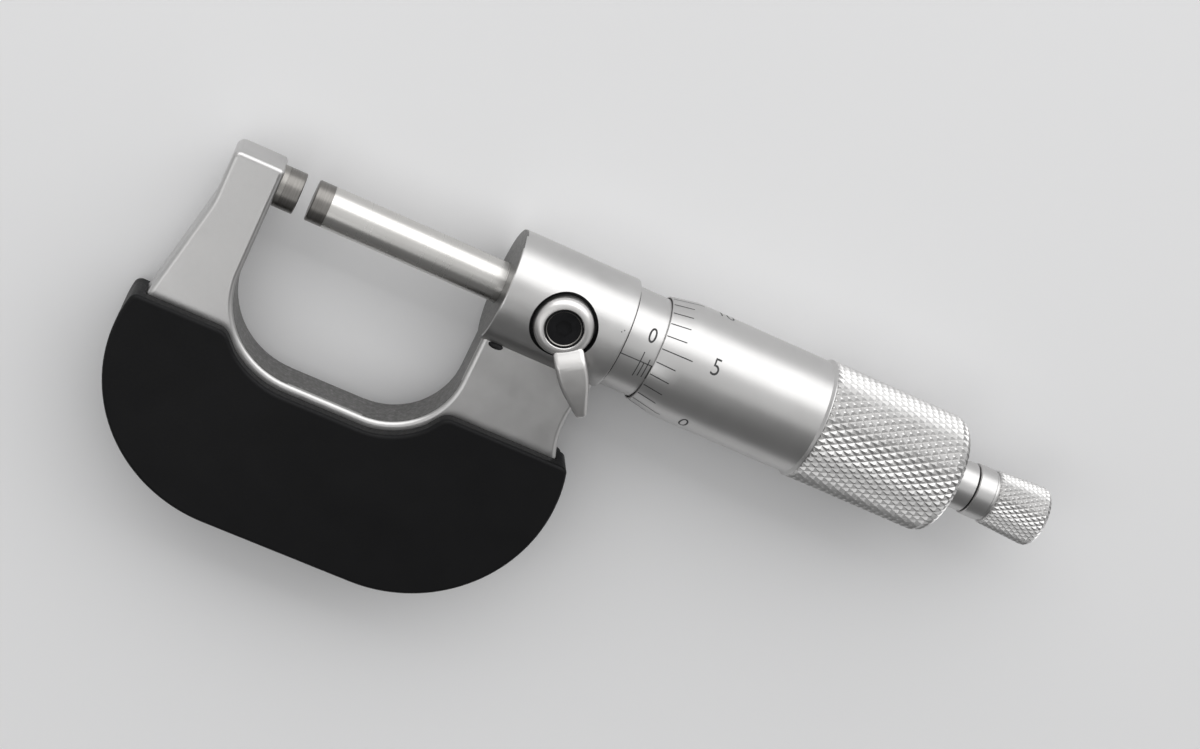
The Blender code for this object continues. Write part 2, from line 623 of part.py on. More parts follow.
def make_spindle():
    """Spindle: ground stem, screw, taper for the thimble, tapped end."""
    start = SPINDLE_FACE + TIP_LENGTH + FIXED_GAP
    end = TAPER_START + TAPER_LENGTH
    tap = RATCHET_STUD_RADIUS + FIXED_GAP
    tap_start = THIMBLE_END - RATCHET_STUD_LENGTH - SEAT_GAP
    return turned("spindle", [
        (start, 0.0), (start, SPINDLE_RADIUS), (THREAD_START - THREAD_RELIEF, SPINDLE_RADIUS),
        (THREAD_START - THREAD_RELIEF, SPINDLE_RADIUS - THREAD_RELIEF),
        (THREAD_START, SPINDLE_RADIUS - THREAD_RELIEF), (THREAD_START + THREAD_RELIEF, THREAD_RADIUS),
        (THREAD_END, THREAD_RADIUS), (THREAD_END, TAPER_LARGE_RADIUS), (TAPER_START, TAPER_LARGE_RADIUS),
        (end, TAPER_SMALL_RADIUS), (end, tap), (tap_start, tap), (tap_start, 0.0)], MEDIUM, GROUND_STEEL)


def knurl_rows(start, end, radius, count):
    """Stations of the groove crossings, an even number of steps that fits the length."""
    pitch = 2.0 * math.pi * radius / count
    step = pitch / math.tan(KNURL_HELIX) / 2.0
    steps = 2 * round((end - start) / step / 2.0)
    return [start + (end - start) * index / steps for index in range(steps + 1)]


def knurled_mesh(rows, count, crest_at, depth_at, rest):
    """Turned piece with a band of pointed diamonds between crossing grooves.

    The rest of its closed profile is a list of (x, radius), from the band's start
    forwards, round through the bore and back to the band's end.
    """
    bm = bmesh.new()

    def ring(x, radius, offset):
        turns = [2.0 * math.pi * (index + offset) / count for index in range(count)]
        return [bm.verts.new((x, radius * math.sin(turn), radius * math.cos(turn))) for turn in turns]

    grooves = [ring(x, crest_at(x) - depth_at(x), 0.5 * (index % 2)) for index, x in enumerate(rows)]
    last = len(rows) - 1
    for index, row in enumerate(grooves):
        odd = index % 2
        beside = [rows[other] for other in (index - 1, index, index + 1) if 0 <= other <= last]
        x = sum(beside) / len(beside)
        points = ring(x, crest_at(x), 0.5 + 0.5 * odd)
        for near in range(count):
            far = (near + 1) % count
            side = far if odd else near
            corners = [row[near]]
            if index < last:
                corners.append(grooves[index + 1][side])
            corners.append(row[far])
            if index > 0:
                corners.append(grooves[index - 1][side])
            for corner, follower in zip(corners, corners[1:] + corners[:1]):
                bm.faces.new((corner, follower, points[near]))
    plain = [grooves[0]] + [ring(x, radius, 0.0) for x, radius in rest] + [grooves[last]]
    for before, after in zip(plain, plain[1:]):
        for near in range(count):
            far = (near + 1) % count
            bm.faces.new((before[near], before[far], after[far], after[near]))
    return bm


def rounded_end(x, end, rounding, radius):
    """Radius at a station of a cylinder whose end edge is rounded."""
    past = max(0.0, x - (end - rounding))
    return radius - rounding + math.sqrt(max(0.0, rounding ** 2 - past ** 2))


def fading_depth(x, end, rounding, depth):
    """Groove depth at a station; the grooves run out on the rounded end."""
    left = (end - x) / rounding
    return depth * min(1.0, KNURL_SHALLOW_END + (1.0 - KNURL_SHALLOW_END) * left)


def make_thimble():
    """Thimble: reading cone, smooth barrel, knurled grip band and tapered seat."""
    inner_end = TAPER_START - THREAD_RELIEF
    seat_end = TAPER_START + TAPER_LENGTH
    seat_large = TAPER_LARGE_RADIUS + FIXED_GAP
    seat_small = TAPER_SMALL_RADIUS + FIXED_GAP
    stud = RATCHET_STUD_RADIUS + FIXED_GAP
    land = KNURL_START + KNURL_LEAD_CHAMFER
    rest = [
        (land + KNURL_LAND, KNURL_RADIUS), (land, KNURL_RADIUS), (KNURL_START, THIMBLE_RADIUS),
        (THIMBLE_START + READING_CONE_LENGTH, THIMBLE_RADIUS), (THIMBLE_START, THIMBLE_EDGE_RADIUS),
        (THIMBLE_START, THIMBLE_BORE_RADIUS), (inner_end, THIMBLE_BORE_RADIUS), (inner_end, seat_large),
        (TAPER_START, seat_large), (seat_end, seat_small), (seat_end + SEAT_GAP, seat_small),
        (seat_end + SEAT_GAP, stud), (THIMBLE_END, stud), (THIMBLE_END, RATCHET_RING_RADIUS),
        (THIMBLE_END - THIMBLE_END_DISH, RATCHET_RING_RADIUS + THIMBLE_END_DISH),
        (THIMBLE_END - THIMBLE_END_DISH, THIMBLE_END_FACE_RADIUS - THIMBLE_END_DISH),
        (THIMBLE_END, THIMBLE_END_FACE_RADIUS)]

    def crest_at(x):
        return rounded_end(x, THIMBLE_END, KNURL_END_RADIUS, KNURL_RADIUS)

    def depth_at(x):
        return fading_depth(x, THIMBLE_END, KNURL_END_RADIUS, KNURL_DEPTH)

    rows = knurl_rows(land + KNURL_LAND, THIMBLE_END, KNURL_RADIUS, KNURL_COUNT)
    return to_object("thimble", knurled_mesh(rows, KNURL_COUNT, crest_at, depth_at, rest), SATIN_CHROME)


def crown_mesh(root, base, inner, outer, direction):
    """Ring of saw teeth that point along X; direction is 1 or -1."""
    bm = bmesh.new()
    rings = []
    for tooth in range(TOOTH_COUNT):
        for step in range(TOOTH_STEPS + 1):
            share = step / TOOTH_STEPS
            turn = 2.0 * math.pi * (tooth + share * TOOTH_RISE_SHARE) / TOOTH_COUNT
            crest = root + direction * TOOTH_HEIGHT * share
            rings.append([bm.verts.new((x, radius * math.sin(turn), radius * math.cos(turn)))
                          for x, radius in ((base, inner), (base, outer), (crest, outer), (crest, inner))])
    for index, ring in enumerate(rings):
        follower = rings[(index + 1) % len(rings)]
        for side in range(4):
            bm.faces.new((ring[side], ring[(side + 1) % 4], follower[(side + 1) % 4], follower[side]))
    return bm


def make_ratchet_base():
    """Ratchet base: stud, flange with saw teeth, arbor."""
    flange = THIMBLE_END + SEAT_GAP
    flange_end = flange + RATCHET_RING_LENGTH
    arbor_end = flange_end + ARBOR_LENGTH
    tap = SCREW_SHANK_RADIUS + FIXED_GAP
    edge = SLEEVE_EDGE
    base = turned("ratchet_base", [
        (THIMBLE_END - RATCHET_STUD_LENGTH, 0.0),
        (THIMBLE_END - RATCHET_STUD_LENGTH, RATCHET_STUD_RADIUS), (flange, RATCHET_STUD_RADIUS),
        (flange, RATCHET_RING_RADIUS - edge), (flange + edge, RATCHET_RING_RADIUS),
        (flange_end - edge, RATCHET_RING_RADIUS), (flange_end, RATCHET_RING_RADIUS - edge),
        (flange_end, ARBOR_RADIUS), (arbor_end, ARBOR_RADIUS), (arbor_end, tap),
        (arbor_end - SCREW_SHANK_LENGTH, tap), (arbor_end - SCREW_SHANK_LENGTH, 0.0)],
        COARSE, SATIN_CHROME)
    crown = crown_mesh(flange_end + TOOTH_ROOT_LENGTH, flange_end - TOOTH_ROOT_LENGTH,
                       ARBOR_RADIUS - FIXED_GAP, TOOTH_RING_RADIUS, 1.0)
    combine(base, cutter("base_crown", crown), "UNION")
    return base


def crown_face():
    """Station where the sliding crown's tooth tips stand."""
    flange_end = THIMBLE_END + SEAT_GAP + RATCHET_RING_LENGTH
    return flange_end + TOOTH_ROOT_LENGTH + TOOTH_HEIGHT + TOOTH_CLEARANCE


def make_ratchet_ring():
    """Sliding crown that the spring presses against the base's teeth."""
    root = crown_face() + TOOTH_HEIGHT
    crown = crown_mesh(root, root + RATCHET_RING_BODY, ARBOR_RADIUS + SEAT_GAP,
                       KNOB_BORE_RADIUS - SEAT_GAP, -1.0)
    return to_object("ratchet_ring", crown, GROUND_STEEL)


def spring_span():
    """Where the ratchet spring starts and ends."""
    start = crown_face() + TOOTH_HEIGHT + RATCHET_RING_BODY + SEAT_GAP
    end = KNOB_END - KNOB_RECESS - KNOB_FLOOR - SEAT_GAP
    return start, end


def make_ratchet_spring():
    """Compression spring round the arbor."""
    start, end = spring_span()
    low = start + SPRING_WIRE_RADIUS
    high = end - SPRING_WIRE_RADIUS
    count = int(SPRING_TURNS * SPRING_STEPS) + 1
    curve = bpy.data.curves.new("ratchet_spring", "CURVE")
    curve.dimensions = "3D"
    curve.bevel_depth = SPRING_WIRE_RADIUS
    curve.bevel_resolution = 1
    curve.use_fill_caps = True
    line = curve.splines.new("POLY")
    line.points.add(count - 1)
    for index in range(count):
        share = index / (count - 1)
        closed_end = min(1.0, max(0.0, (share * SPRING_TURNS - 0.5) / (SPRING_TURNS - 1.0)))
        turn = 2.0 * math.pi * share * SPRING_TURNS
        x = low + (high - low) * closed_end
        line.points[index].co = (x, SPRING_RADIUS * math.sin(turn), SPRING_RADIUS * math.cos(turn), 1.0)
    curve.materials.append(material("ratchet_spring", GROUND_STEEL))
    made = bpy.data.objects.new("ratchet_spring", curve)
    bpy.context.scene.collection.objects.link(made)
    return made


def make_ratchet_knob():
    """Ratchet knob: collar, groove, flared knurled grip, spring chamber, screw recess."""
    bore = KNOB_BORE_RADIUS
    shank = SCREW_SHANK_RADIUS + RUNNING_GAP
    floor_end = KNOB_END - KNOB_RECESS
    recess = SCREW_HEAD_RADIUS + SEAT_GAP
    collar_end = KNOB_START + KNOB_COLLAR_LENGTH
    knurl_start = collar_end + 2.0 * KNOB_GROOVE
    neck = KNOB_COLLAR_RADIUS - KNOB_GROOVE
    rest = [
        (knurl_start, neck), (collar_end, neck), (collar_end, KNOB_COLLAR_RADIUS),
        (KNOB_START + SLEEVE_EDGE, KNOB_COLLAR_RADIUS), (KNOB_START, KNOB_COLLAR_RADIUS - SLEEVE_EDGE),
        (KNOB_START, bore), (floor_end - KNOB_FLOOR, bore), (floor_end - KNOB_FLOOR, shank),
        (floor_end, shank), (floor_end, recess), (KNOB_END, recess)]

    def crest_at(x):
        share = min(1.0, (x - knurl_start) / (KNOB_END - KNOB_ROUNDING - knurl_start))
        flare = KNOB_START_RADIUS + (KNOB_END_RADIUS - KNOB_START_RADIUS) * share
        return rounded_end(x, KNOB_END, KNOB_ROUNDING, flare)

    def depth_at(x):
        return fading_depth(x, KNOB_END, KNOB_ROUNDING, KNOB_KNURL_DEPTH)

    rows = knurl_rows(knurl_start, KNOB_END, KNOB_END_RADIUS, KNOB_KNURL_COUNT)
    knurled = knurled_mesh(rows, KNOB_KNURL_COUNT, crest_at, depth_at, rest)
    return to_object("ratchet_knob", knurled, SATIN_CHROME)


def make_ratchet_screw():
    """Cheese-head screw that keeps the knob on the arbor."""
    seat = KNOB_END - KNOB_RECESS + SEAT_GAP
    arbor_end = THIMBLE_END + SEAT_GAP + RATCHET_RING_LENGTH + ARBOR_LENGTH
    tip = arbor_end - SCREW_SHANK_LENGTH + SEAT_GAP
    top = seat + SCREW_HEAD_LENGTH
    screw = turned("ratchet_screw", [
        (tip, 0.0), (tip, SCREW_SHANK_RADIUS), (seat, SCREW_SHANK_RADIUS), (seat, SCREW_HEAD_RADIUS),
        (top - SLEEVE_EDGE, SCREW_HEAD_RADIUS), (top, SCREW_HEAD_RADIUS - SLEEVE_EDGE), (top, 0.0)],
        COARSE, GROUND_STEEL)
    slot = bmesh.new()
    bmesh.ops.create_cube(slot, size=1.0)
    bmesh.ops.scale(slot, vec=(SCREW_HEAD_LENGTH, 3.0 * SCREW_HEAD_RADIUS, SCREW_SLOT), verts=slot.verts)
    bmesh.ops.translate(slot, verts=slot.verts, vec=(top, 0.0, 0.0))
    combine(screw, cutter("driver_slot", slot), "DIFFERENCE")
    return screw


def hub_seat():
    """Height of the underside of the lock lever's hub."""
    return LOCK_RECESS_FLOOR + WASHER_THICK + 2.0 * SEAT_GAP


def lever_outline():
    """Sail-shaped thumb piece, drawn along +X from the hub's centre."""
    near_tip = LEVER_TIP_OFFSET - LEVER_TIP_WIDTH / 2.0
    far_tip = LEVER_TIP_OFFSET + LEVER_TIP_WIDTH / 2.0
    return filleted([
        (LEVER_START, -LEVER_NEAR_SIDE, LEVER_CORNER_RADIUS),
        (LEVER_BELLY, -LEVER_NEAR_SIDE, LEVER_SIDE_RADIUS),
        (LEVER_LENGTH, near_tip, LEVER_TIP_RADIUS),
        (LEVER_LENGTH, far_tip, LEVER_TIP_RADIUS),
        (LEVER_BELLY, LEVER_FAR_SIDE, LEVER_SIDE_RADIUS),
        (LEVER_START, LEVER_FAR_SIDE - LEVER_NECK, LEVER_CORNER_RADIUS)], LEVER_STEPS)


def make_lock_lever():
    """Lever with a round hub; its origin is on the lock's axis."""
    under = hub_seat()
    floor = HUB_TOP - HUB_COUNTERBORE_DEPTH
    shank = CLAMP_SCREW_RADIUS + FIXED_GAP
    room = PLUG_RADIUS + SEAT_GAP
    shoulder = arc((HUB_TOP - HUB_SHOULDER, HUB_RADIUS - HUB_SHOULDER), HUB_SHOULDER,
                   math.radians(90.0), 0.0, ROUNDING_STEPS)
    hub = upright(turned_mesh(
        [(under, shank), (under, HUB_RADIUS)] + shoulder +
        [(HUB_TOP, room), (floor, room), (floor, shank)], MEDIUM), 0.0, 0.0)
    lever = to_object("lock_lever", hub, SATIN_CHROME)
    paddle = plate_mesh(lever_outline(), LEVER_UNDERSIDE, LEVER_UNDERSIDE + LEVER_THICK,
                        LEVER_EDGE / 2.0, LEVER_EDGE, LEVER_EDGE_STEPS)
    shift(paddle, Matrix.Rotation(LEVER_ANGLE, 4, "Z"))
    helper = cutter("paddle_form", paddle)
    combine(lever, helper, "UNION")
    lever.location = (LOCK_X, 0.0, 0.0)
    helper.location = (LOCK_X, 0.0, 0.0)
    return lever


def make_lock_screw():
    """Black clamp screw in the hub, keyed to it, with a hexagon socket."""
    head = HUB_TOP - HUB_COUNTERBORE_DEPTH + FIXED_GAP
    top = HUB_TOP - PLUG_BELOW_HUB
    tip = SPINDLE_RADIUS + RUNNING_GAP + SLUG_LENGTH + SEAT_GAP
    screw = to_object("lock_screw", upright(turned_mesh([
        (tip, 0.0), (tip, CLAMP_SCREW_RADIUS), (head, CLAMP_SCREW_RADIUS), (head, PLUG_RADIUS),
        (top - FACE_CHAMFER, PLUG_RADIUS), (top, PLUG_RADIUS - FACE_CHAMFER), (top, 0.0)],
        MEDIUM), 0.0, 0.0), BLACK_OXIDE)
    socket = upright(turned_mesh([
        (top - PLUG_SOCKET_DEPTH, 0.0), (top - PLUG_SOCKET_DEPTH, PLUG_SOCKET_RADIUS),
        (top + CUT_MARGIN, PLUG_SOCKET_RADIUS), (top + CUT_MARGIN, 0.0)], HEXAGON), 0.0, 0.0)
    helper = cutter("hexagon_socket", socket)
    combine(screw, helper, "DIFFERENCE")
    screw.location = (LOCK_X, 0.0, 0.0)
    helper.location = (LOCK_X, 0.0, 0.0)
    return screw


def make_lock_washer():
    """Spring washer between the hub and the recess floor."""
    low = LOCK_RECESS_FLOOR + SEAT_GAP
    high = low + WASHER_THICK
    inner = CLAMP_SCREW_RADIUS + SEAT_GAP
    return to_object("lock_washer", upright(turned_mesh([
        (low, inner), (low, WASHER_RADIUS), (high, WASHER_RADIUS), (high, inner)], COARSE), LOCK_X, 0.0),
        GROUND_STEEL)


def make_lock_slug():
    """Soft metal slug that the clamp screw pushes onto the spindle."""
    low = SPINDLE_RADIUS + RUNNING_GAP
    high = low + SLUG_LENGTH
    return to_object("lock_slug", upright(turned_mesh([
        (low, 0.0), (low, SLUG_RADIUS), (high, SLUG_RADIUS), (high, 0.0)], COARSE), LOCK_X, 0.0), BRASS)


def grip_clearance(roll, pitch):
    """How far the rear grip's lowest point stays above the head's lowest point."""
    up = Vector((math.sin(pitch), math.cos(pitch) * math.sin(roll), math.cos(pitch) * math.cos(roll)))
    left, _ = frame_centres()
    back = -(FRAME_THICK / 2.0 + SEAT_GAP + GRIP_THICK) + GRIP_EDGE_RADIUS
    corner = up.dot(Vector((left[0], left[1], back)))
    corner -= (GRIP_CORNER_RADIUS - GRIP_EDGE_RADIUS) * math.hypot(up.x, up.y) + GRIP_EDGE_RADIUS
    return corner - (up.x * HEAD_START - HEAD_RADIUS * math.hypot(up.y, up.z))


def support_tilt():
    """Roll and pitch with which the tool rests on head, thimble and rear grip."""
    pitch = math.atan((KNURL_RADIUS - HEAD_RADIUS) / (KNURL_START + KNURL_LEAD_CHAMFER - HEAD_START))
    level, steep = 0.0, math.radians(30.0)
    for _ in range(50):
        roll = (level + steep) / 2.0
        if grip_clearance(roll, pitch) > 0.0:
            level = roll
        else:
            steep = roll
    return roll, pitch


def lay_down(pieces):
    """Parent everything to one empty, tip it to rest and centre it on the origin."""
    roll, pitch = support_tilt()
    tool = bpy.data.objects.new("micrometer", None)
    bpy.context.scene.collection.objects.link(tool)
    for piece in bpy.data.objects:
        if piece is not tool and piece.parent is None:
            piece.parent = tool
    turn = Matrix.Rotation(-pitch, 4, "Y") @ Matrix.Rotation(roll, 4, "X")
    tool.rotation_euler = turn.to_euler()
    bpy.context.view_layer.update()
    shown = bpy.context.evaluated_depsgraph_get()
    corners = []
    for piece in pieces:
        evaluated = piece.evaluated_get(shown)
        mesh = evaluated.to_mesh()
        corners += [evaluated.matrix_world @ vert.co for vert in mesh.vertices]
        evaluated.to_mesh_clear()
    low = [min(corner[axis] for corner in corners) for axis in range(3)]
    high = [max(corner[axis] for corner in corners) for axis in range(3)]
    tool.location = (-(low[0] + high[0]) / 2.0, -(low[1] + high[1]) / 2.0, -low[2])
    return tool


def build():
    """Model every piece and lay the tool down."""
    clear_scene()
    fixed = [
        make_frame(),
        make_grip("front_cover", 1.0, 0.0),
        make_grip("rear_cover", -1.0, REAR_GRIP_DROP),
        make_anvil(),
        make_tip("anvil_tip", ANVIL_FACE - TIP_LENGTH, ANVIL_FACE),
        make_inner_sleeve(),
        make_sleeve(),
        make_adjusting_nut(),
        make_lock_washer(),
        make_lock_slug(),
    ]
    moving = [
        make_spindle(),
        make_tip("spindle_tip", SPINDLE_FACE + TIP_LENGTH, SPINDLE_FACE),
        make_thimble(),
        make_ratchet_base(),
        make_ratchet_ring(),
        make_ratchet_spring(),
        make_ratchet_knob(),
        make_ratchet_screw(),
        make_lock_lever(),
        make_lock_screw(),
    ]
    lay_down(fixed + moving)


build()
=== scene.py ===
"""Dressed outside micrometer: detailed pieces, finishes, light and camera.

Pieces are drawn in the tool's own axes: X runs along the spindle from the anvil to the
ratchet, Y points across the throat away from the grips, Z points out of the graduated
face. X is 0 at the arm's inner face. TOOL turns those axes into the frame's.
"""

import json
import math

import bmesh
import bpy
from mathutils import Euler, Matrix, Vector


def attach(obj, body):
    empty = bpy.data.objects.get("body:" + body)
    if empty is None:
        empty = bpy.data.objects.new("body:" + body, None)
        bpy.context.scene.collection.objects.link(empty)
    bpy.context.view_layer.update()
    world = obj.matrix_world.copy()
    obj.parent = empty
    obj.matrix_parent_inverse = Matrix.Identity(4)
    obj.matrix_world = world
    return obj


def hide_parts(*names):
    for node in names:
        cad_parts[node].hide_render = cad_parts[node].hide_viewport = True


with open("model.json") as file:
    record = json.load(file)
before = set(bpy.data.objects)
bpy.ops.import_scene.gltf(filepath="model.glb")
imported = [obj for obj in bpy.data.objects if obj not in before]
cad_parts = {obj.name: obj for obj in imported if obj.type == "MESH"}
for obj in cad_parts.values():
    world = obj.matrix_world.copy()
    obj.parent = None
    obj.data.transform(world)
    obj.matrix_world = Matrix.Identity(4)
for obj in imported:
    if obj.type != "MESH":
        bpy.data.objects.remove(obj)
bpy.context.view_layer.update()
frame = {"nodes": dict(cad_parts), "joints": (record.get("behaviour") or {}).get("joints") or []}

MM = 0.001

# Measuring range and reading
RANGE = 25.4 * MM
READING = 1.994 * MM
GRADUATION = 0.635 * MM
THIMBLE_DIVISIONS = 25
THIMBLE_READING = 3.5

# Frame
FRAME_THICK = 8.6 * MM
ARM_WIDTH = 7.9 * MM
ARM_TOP = 3.5 * MM
ARM_TOP_OUTER_RADIUS = 1.2 * MM
ARM_TOP_INNER_RADIUS = 0.8 * MM
ARM_FLARE_START = 5.2 * MM
ARM_FLARE_RADIUS = 18.0 * MM
THROAT_WIDTH = 36.9 * MM
THROAT_DEPTH = 27.0 * MM
THROAT_LEFT_RADIUS = 13.2 * MM
THROAT_RIGHT_RADIUS = 11.4 * MM
WAIST_INSET = 2.5 * MM
WAIST_RADIUS = 16.0 * MM
WAIST_TOP = 8.5 * MM
WAIST_DEPTH = 15.2 * MM
FRAME_EDGE_RADIUS = 0.8 * MM
HEAD_RADIUS = 9.0 * MM
HEAD_LENGTH = 19.4 * MM
HEAD_PROUD = 0.4 * MM
HEAD_SHORT_OF_EDGE = 0.5 * MM
HEAD_EDGE = 0.35 * MM
HEAD_EDGE_MIDDLE = 0.3

# Small pocket where the web meets the head, its wall in painted shade, and test dents on the head,
# drawn as dark dots of painted shade
POCKET_CENTRE = (39.2 * MM, -8.25 * MM, 4.35 * MM)
POCKET_HALF_LENGTH = 1.2 * MM
POCKET_RADIUS = 0.55 * MM
POCKET_MARGIN = 1.02
DENT_X = 54.9 * MM
DENT_SPACING = 0.35 * MM
DENT_SIZE = 0.17 * MM
DENT_ANGLE = math.radians(19.7)

# Grips
GRIP_THICK = 2.3 * MM
GRIP_WALL = 1.7 * MM
GRIP_CORNER_RADIUS = 24.0 * MM
GRIP_DEPTH = 52.3 * MM
GRIP_LEFT_OVERHANG = 14.0 * MM
GRIP_RIGHT_OVERHANG = 21.5 * MM
GRIP_TOP_LEFT = 22.3 * MM
GRIP_TOP_RIGHT = 21.2 * MM
REAR_GRIP_DROP = 1.6 * MM
GRIP_RIM = 1.3 * MM
GRIP_SHOULDER_RADIUS = 2.5 * MM
GRIP_TIP_RADIUS = 1.2 * MM
GRIP_EDGE_RADIUS = 0.6 * MM

# Anvil and spindle
SPINDLE_RADIUS = 3.25 * MM
ANVIL_PROTRUSION = 3.4 * MM
TIP_LENGTH = 2.6 * MM
FACE_CHAMFER = 0.15 * MM
STEM_PAST_HEAD = 3.0 * MM

# Sleeve
SLEEVE_RADIUS = 8.1 * MM
SLEEVE_BORE_RADIUS = 6.43 * MM
SLEEVE_PAST_SCALE = 1.6 * MM
SPANNER_HOLE_RADIUS = 0.9 * MM
SPANNER_HOLE_INSET = 2.0 * MM

# Thimble
VISIBLE_SLEEVE = 5.5 * MM
THIMBLE_RADIUS = 9.4 * MM
THIMBLE_EDGE_RADIUS = 8.55 * MM
THIMBLE_BORE_RADIUS = 8.32 * MM
READING_CONE_LENGTH = 4.4 * MM
THIMBLE_SMOOTH_LENGTH = 27.4 * MM
KNURL_RADIUS = 9.8 * MM
KNURL_LENGTH = 25.1 * MM
KNURL_LEAD_CHAMFER = 0.4 * MM
KNURL_END_RADIUS = 2.6 * MM
KNURL_DEPTH = 0.34 * MM
KNURL_PITCH = 1.257 * MM
KNURL_HELIX = math.radians(30.0)
KNURL_FLAT = 0.22
KNURL_END_SHARE = 0.35
THIMBLE_END_FACE_RADIUS = 6.6 * MM
THIMBLE_END_DISH = 0.5 * MM

# Ratchet stop
RATCHET_RING_RADIUS = 4.05 * MM
RATCHET_RING_LENGTH = 4.12 * MM
RATCHET_GAP = 0.13 * MM
ARBOR_RADIUS = 2.0 * MM
KNOB_COLLAR_RADIUS = 4.3 * MM
KNOB_COLLAR_LENGTH = 3.1 * MM
KNOB_GROOVE = 0.2 * MM
KNOB_START_RADIUS = 4.5 * MM
KNOB_END_RADIUS = 5.0 * MM
KNOB_LENGTH = 12.9 * MM
KNOB_ROUNDING = 1.3 * MM
KNOB_RECESS = 1.8 * MM
KNOB_KNURL_DEPTH = 0.24 * MM
KNOB_KNURL_PITCH = 0.93 * MM
KNOB_KNURL_FLAT = 0.2
KNOB_KNURL_END_SHARE = 0.3
KNOB_FLARE_RATE = 1.15
SCREW_HEAD_RADIUS = 2.5 * MM

# Spindle lock
LOCK_STATION = 10.0 * MM
LOCK_RECESS_RADIUS = 5.2 * MM
LOCK_RECESS_FLOOR = 6.4 * MM
HUB_RADIUS = 4.6 * MM
HUB_TOP = 9.85 * MM
HUB_UNDERSIDE = 6.85 * MM
HUB_SHOULDER = 1.3 * MM
HUB_COUNTERBORE_DEPTH = 1.5 * MM
PLUG_RADIUS = 2.93 * MM
PLUG_BELOW_HUB = 0.2 * MM
PLUG_RIM = 0.25 * MM
PLUG_EDGE = 0.12 * MM
PLUG_SOCKET_RADIUS = 1.35 * MM
PLUG_SOCKET_DEPTH = 0.7 * MM
CLAMP_SCREW_RADIUS = 1.5 * MM
LEVER_ANGLE = math.radians(-57.0)
LEVER_START = 3.3 * MM
LEVER_BELLY = 8.3 * MM
LEVER_LENGTH = 14.4 * MM
LEVER_NEAR_SIDE = 2.15 * MM
LEVER_FAR_SIDE = 2.75 * MM
LEVER_NECK = 0.35 * MM
LEVER_TIP_WIDTH = 1.5 * MM
LEVER_TIP_OFFSET = 0.75 * MM
LEVER_TIP_RADIUS = 0.74 * MM
LEVER_SIDE_RADIUS = 14.0 * MM
LEVER_CORNER_RADIUS = 0.8 * MM
LEVER_UNDERSIDE = 8.95 * MM
LEVER_THICK = 1.9 * MM
LEVER_EDGE = 0.7 * MM
LEVER_CROWN_START = 5.5 * MM
LEVER_TIP_DROP = 1.1 * MM
LEVER_NECK_LENGTH = 2.6 * MM
LEVER_BEND_STEP = 0.6 * MM

# Engraved scales
LINE_WIDTH = 0.16 * MM
MARK_PROUD = 0.01 * MM
MARK_STEP = 0.3 * MM
INDEX_ANGLE = math.radians(-2.0)
TENTH_MARK = (math.radians(-21.5), math.radians(9.4))
HALF_TENTH_MARK = (math.radians(-19.0), math.radians(4.0))
SHORT_MARK = (math.radians(-19.0), INDEX_ANGLE)
MARKS_A_TENTH = 4
DIGIT_NARROWING = 0.82
DIGIT_CURVE_STEPS = 6
DIGIT_HEIGHT = 2.4 * MM
DIGIT_WEIGHT = 0.004
SLEEVE_DIGIT_ANGLE = math.radians(29.0)
SLEEVE_DIGIT_ASIDE = 0.2 * MM
THIMBLE_MARK_INSET = 0.15 * MM
THIMBLE_MARK = 3.15 * MM
THIMBLE_NUMBERED_MARK = 4.9 * MM
THIMBLE_MARKS_A_NUMBER = 5
THIMBLE_DIGIT_HEIGHT = 2.7 * MM
THIMBLE_DIGIT_WEIGHT = -0.004
THIMBLE_DIGIT_PLACE = 8.8 * MM
THIMBLE_DIGIT_RISE = math.radians(4.2)

# Floor, and light: name, azimuth, elevation, shift aside, size and radiance of each lamp
FLOOR_SIZE = 1.6
WORLD_GREY = 0.5
WORLD_STRENGTH = 0.32
LAMP_DISTANCE = 0.95
LAMPS = (
    ("beyond", 0.0, 27.0, 0.0, (2.4, 0.95), 1.95),
    ("overhead", 0.0, 74.0, 0.0, (1.8, 0.8), 0.65),
    ("front", 0.0, 110.0, -0.55, (1.15, 0.4), 1.2),
    ("left", 90.0, 24.0, 0.0, (1.1, 0.7), 0.5),
    ("right", -90.0, 24.0, 0.0, (1.1, 0.7), 0.4),
)

# Clearances, tolerances and facets
FIXED_GAP = 0.03 * MM
RUNNING_GAP = 0.06 * MM
SEAT_GAP = 0.1 * MM
CUT_MARGIN = 1.0 * MM
ON_AXIS = 1e-9
SAME_POINT = 1e-7
STEEP = 0.2
ROUND = 128
SMALL_ROUND = 96
HOLE_ROUND = 32
POCKET_ROUND = 24
POCKET_STEPS = 16
HEXAGON = 6
EDGE_STEPS = 4
FRAME_RIM_STEPS = 30
FRAME_FILLET_STEPS = 20
GRIP_RIM_STEPS = 40
GRIP_THROAT_STEPS = 24
GRIP_FILLET_STEPS = 10
GRIP_TIP_ROOM = 2
GRIP_SHOULDER_ROOM = 6
LEVER_FILLET_STEPS = 12
LEVER_EDGE_STEPS = 6
HUB_SHOULDER_STEPS = 8
KNURL_END_STEPS = 10
SHARP_ANGLE = math.radians(32.0)
KNURL_SHARP_ANGLE = math.radians(10.0)

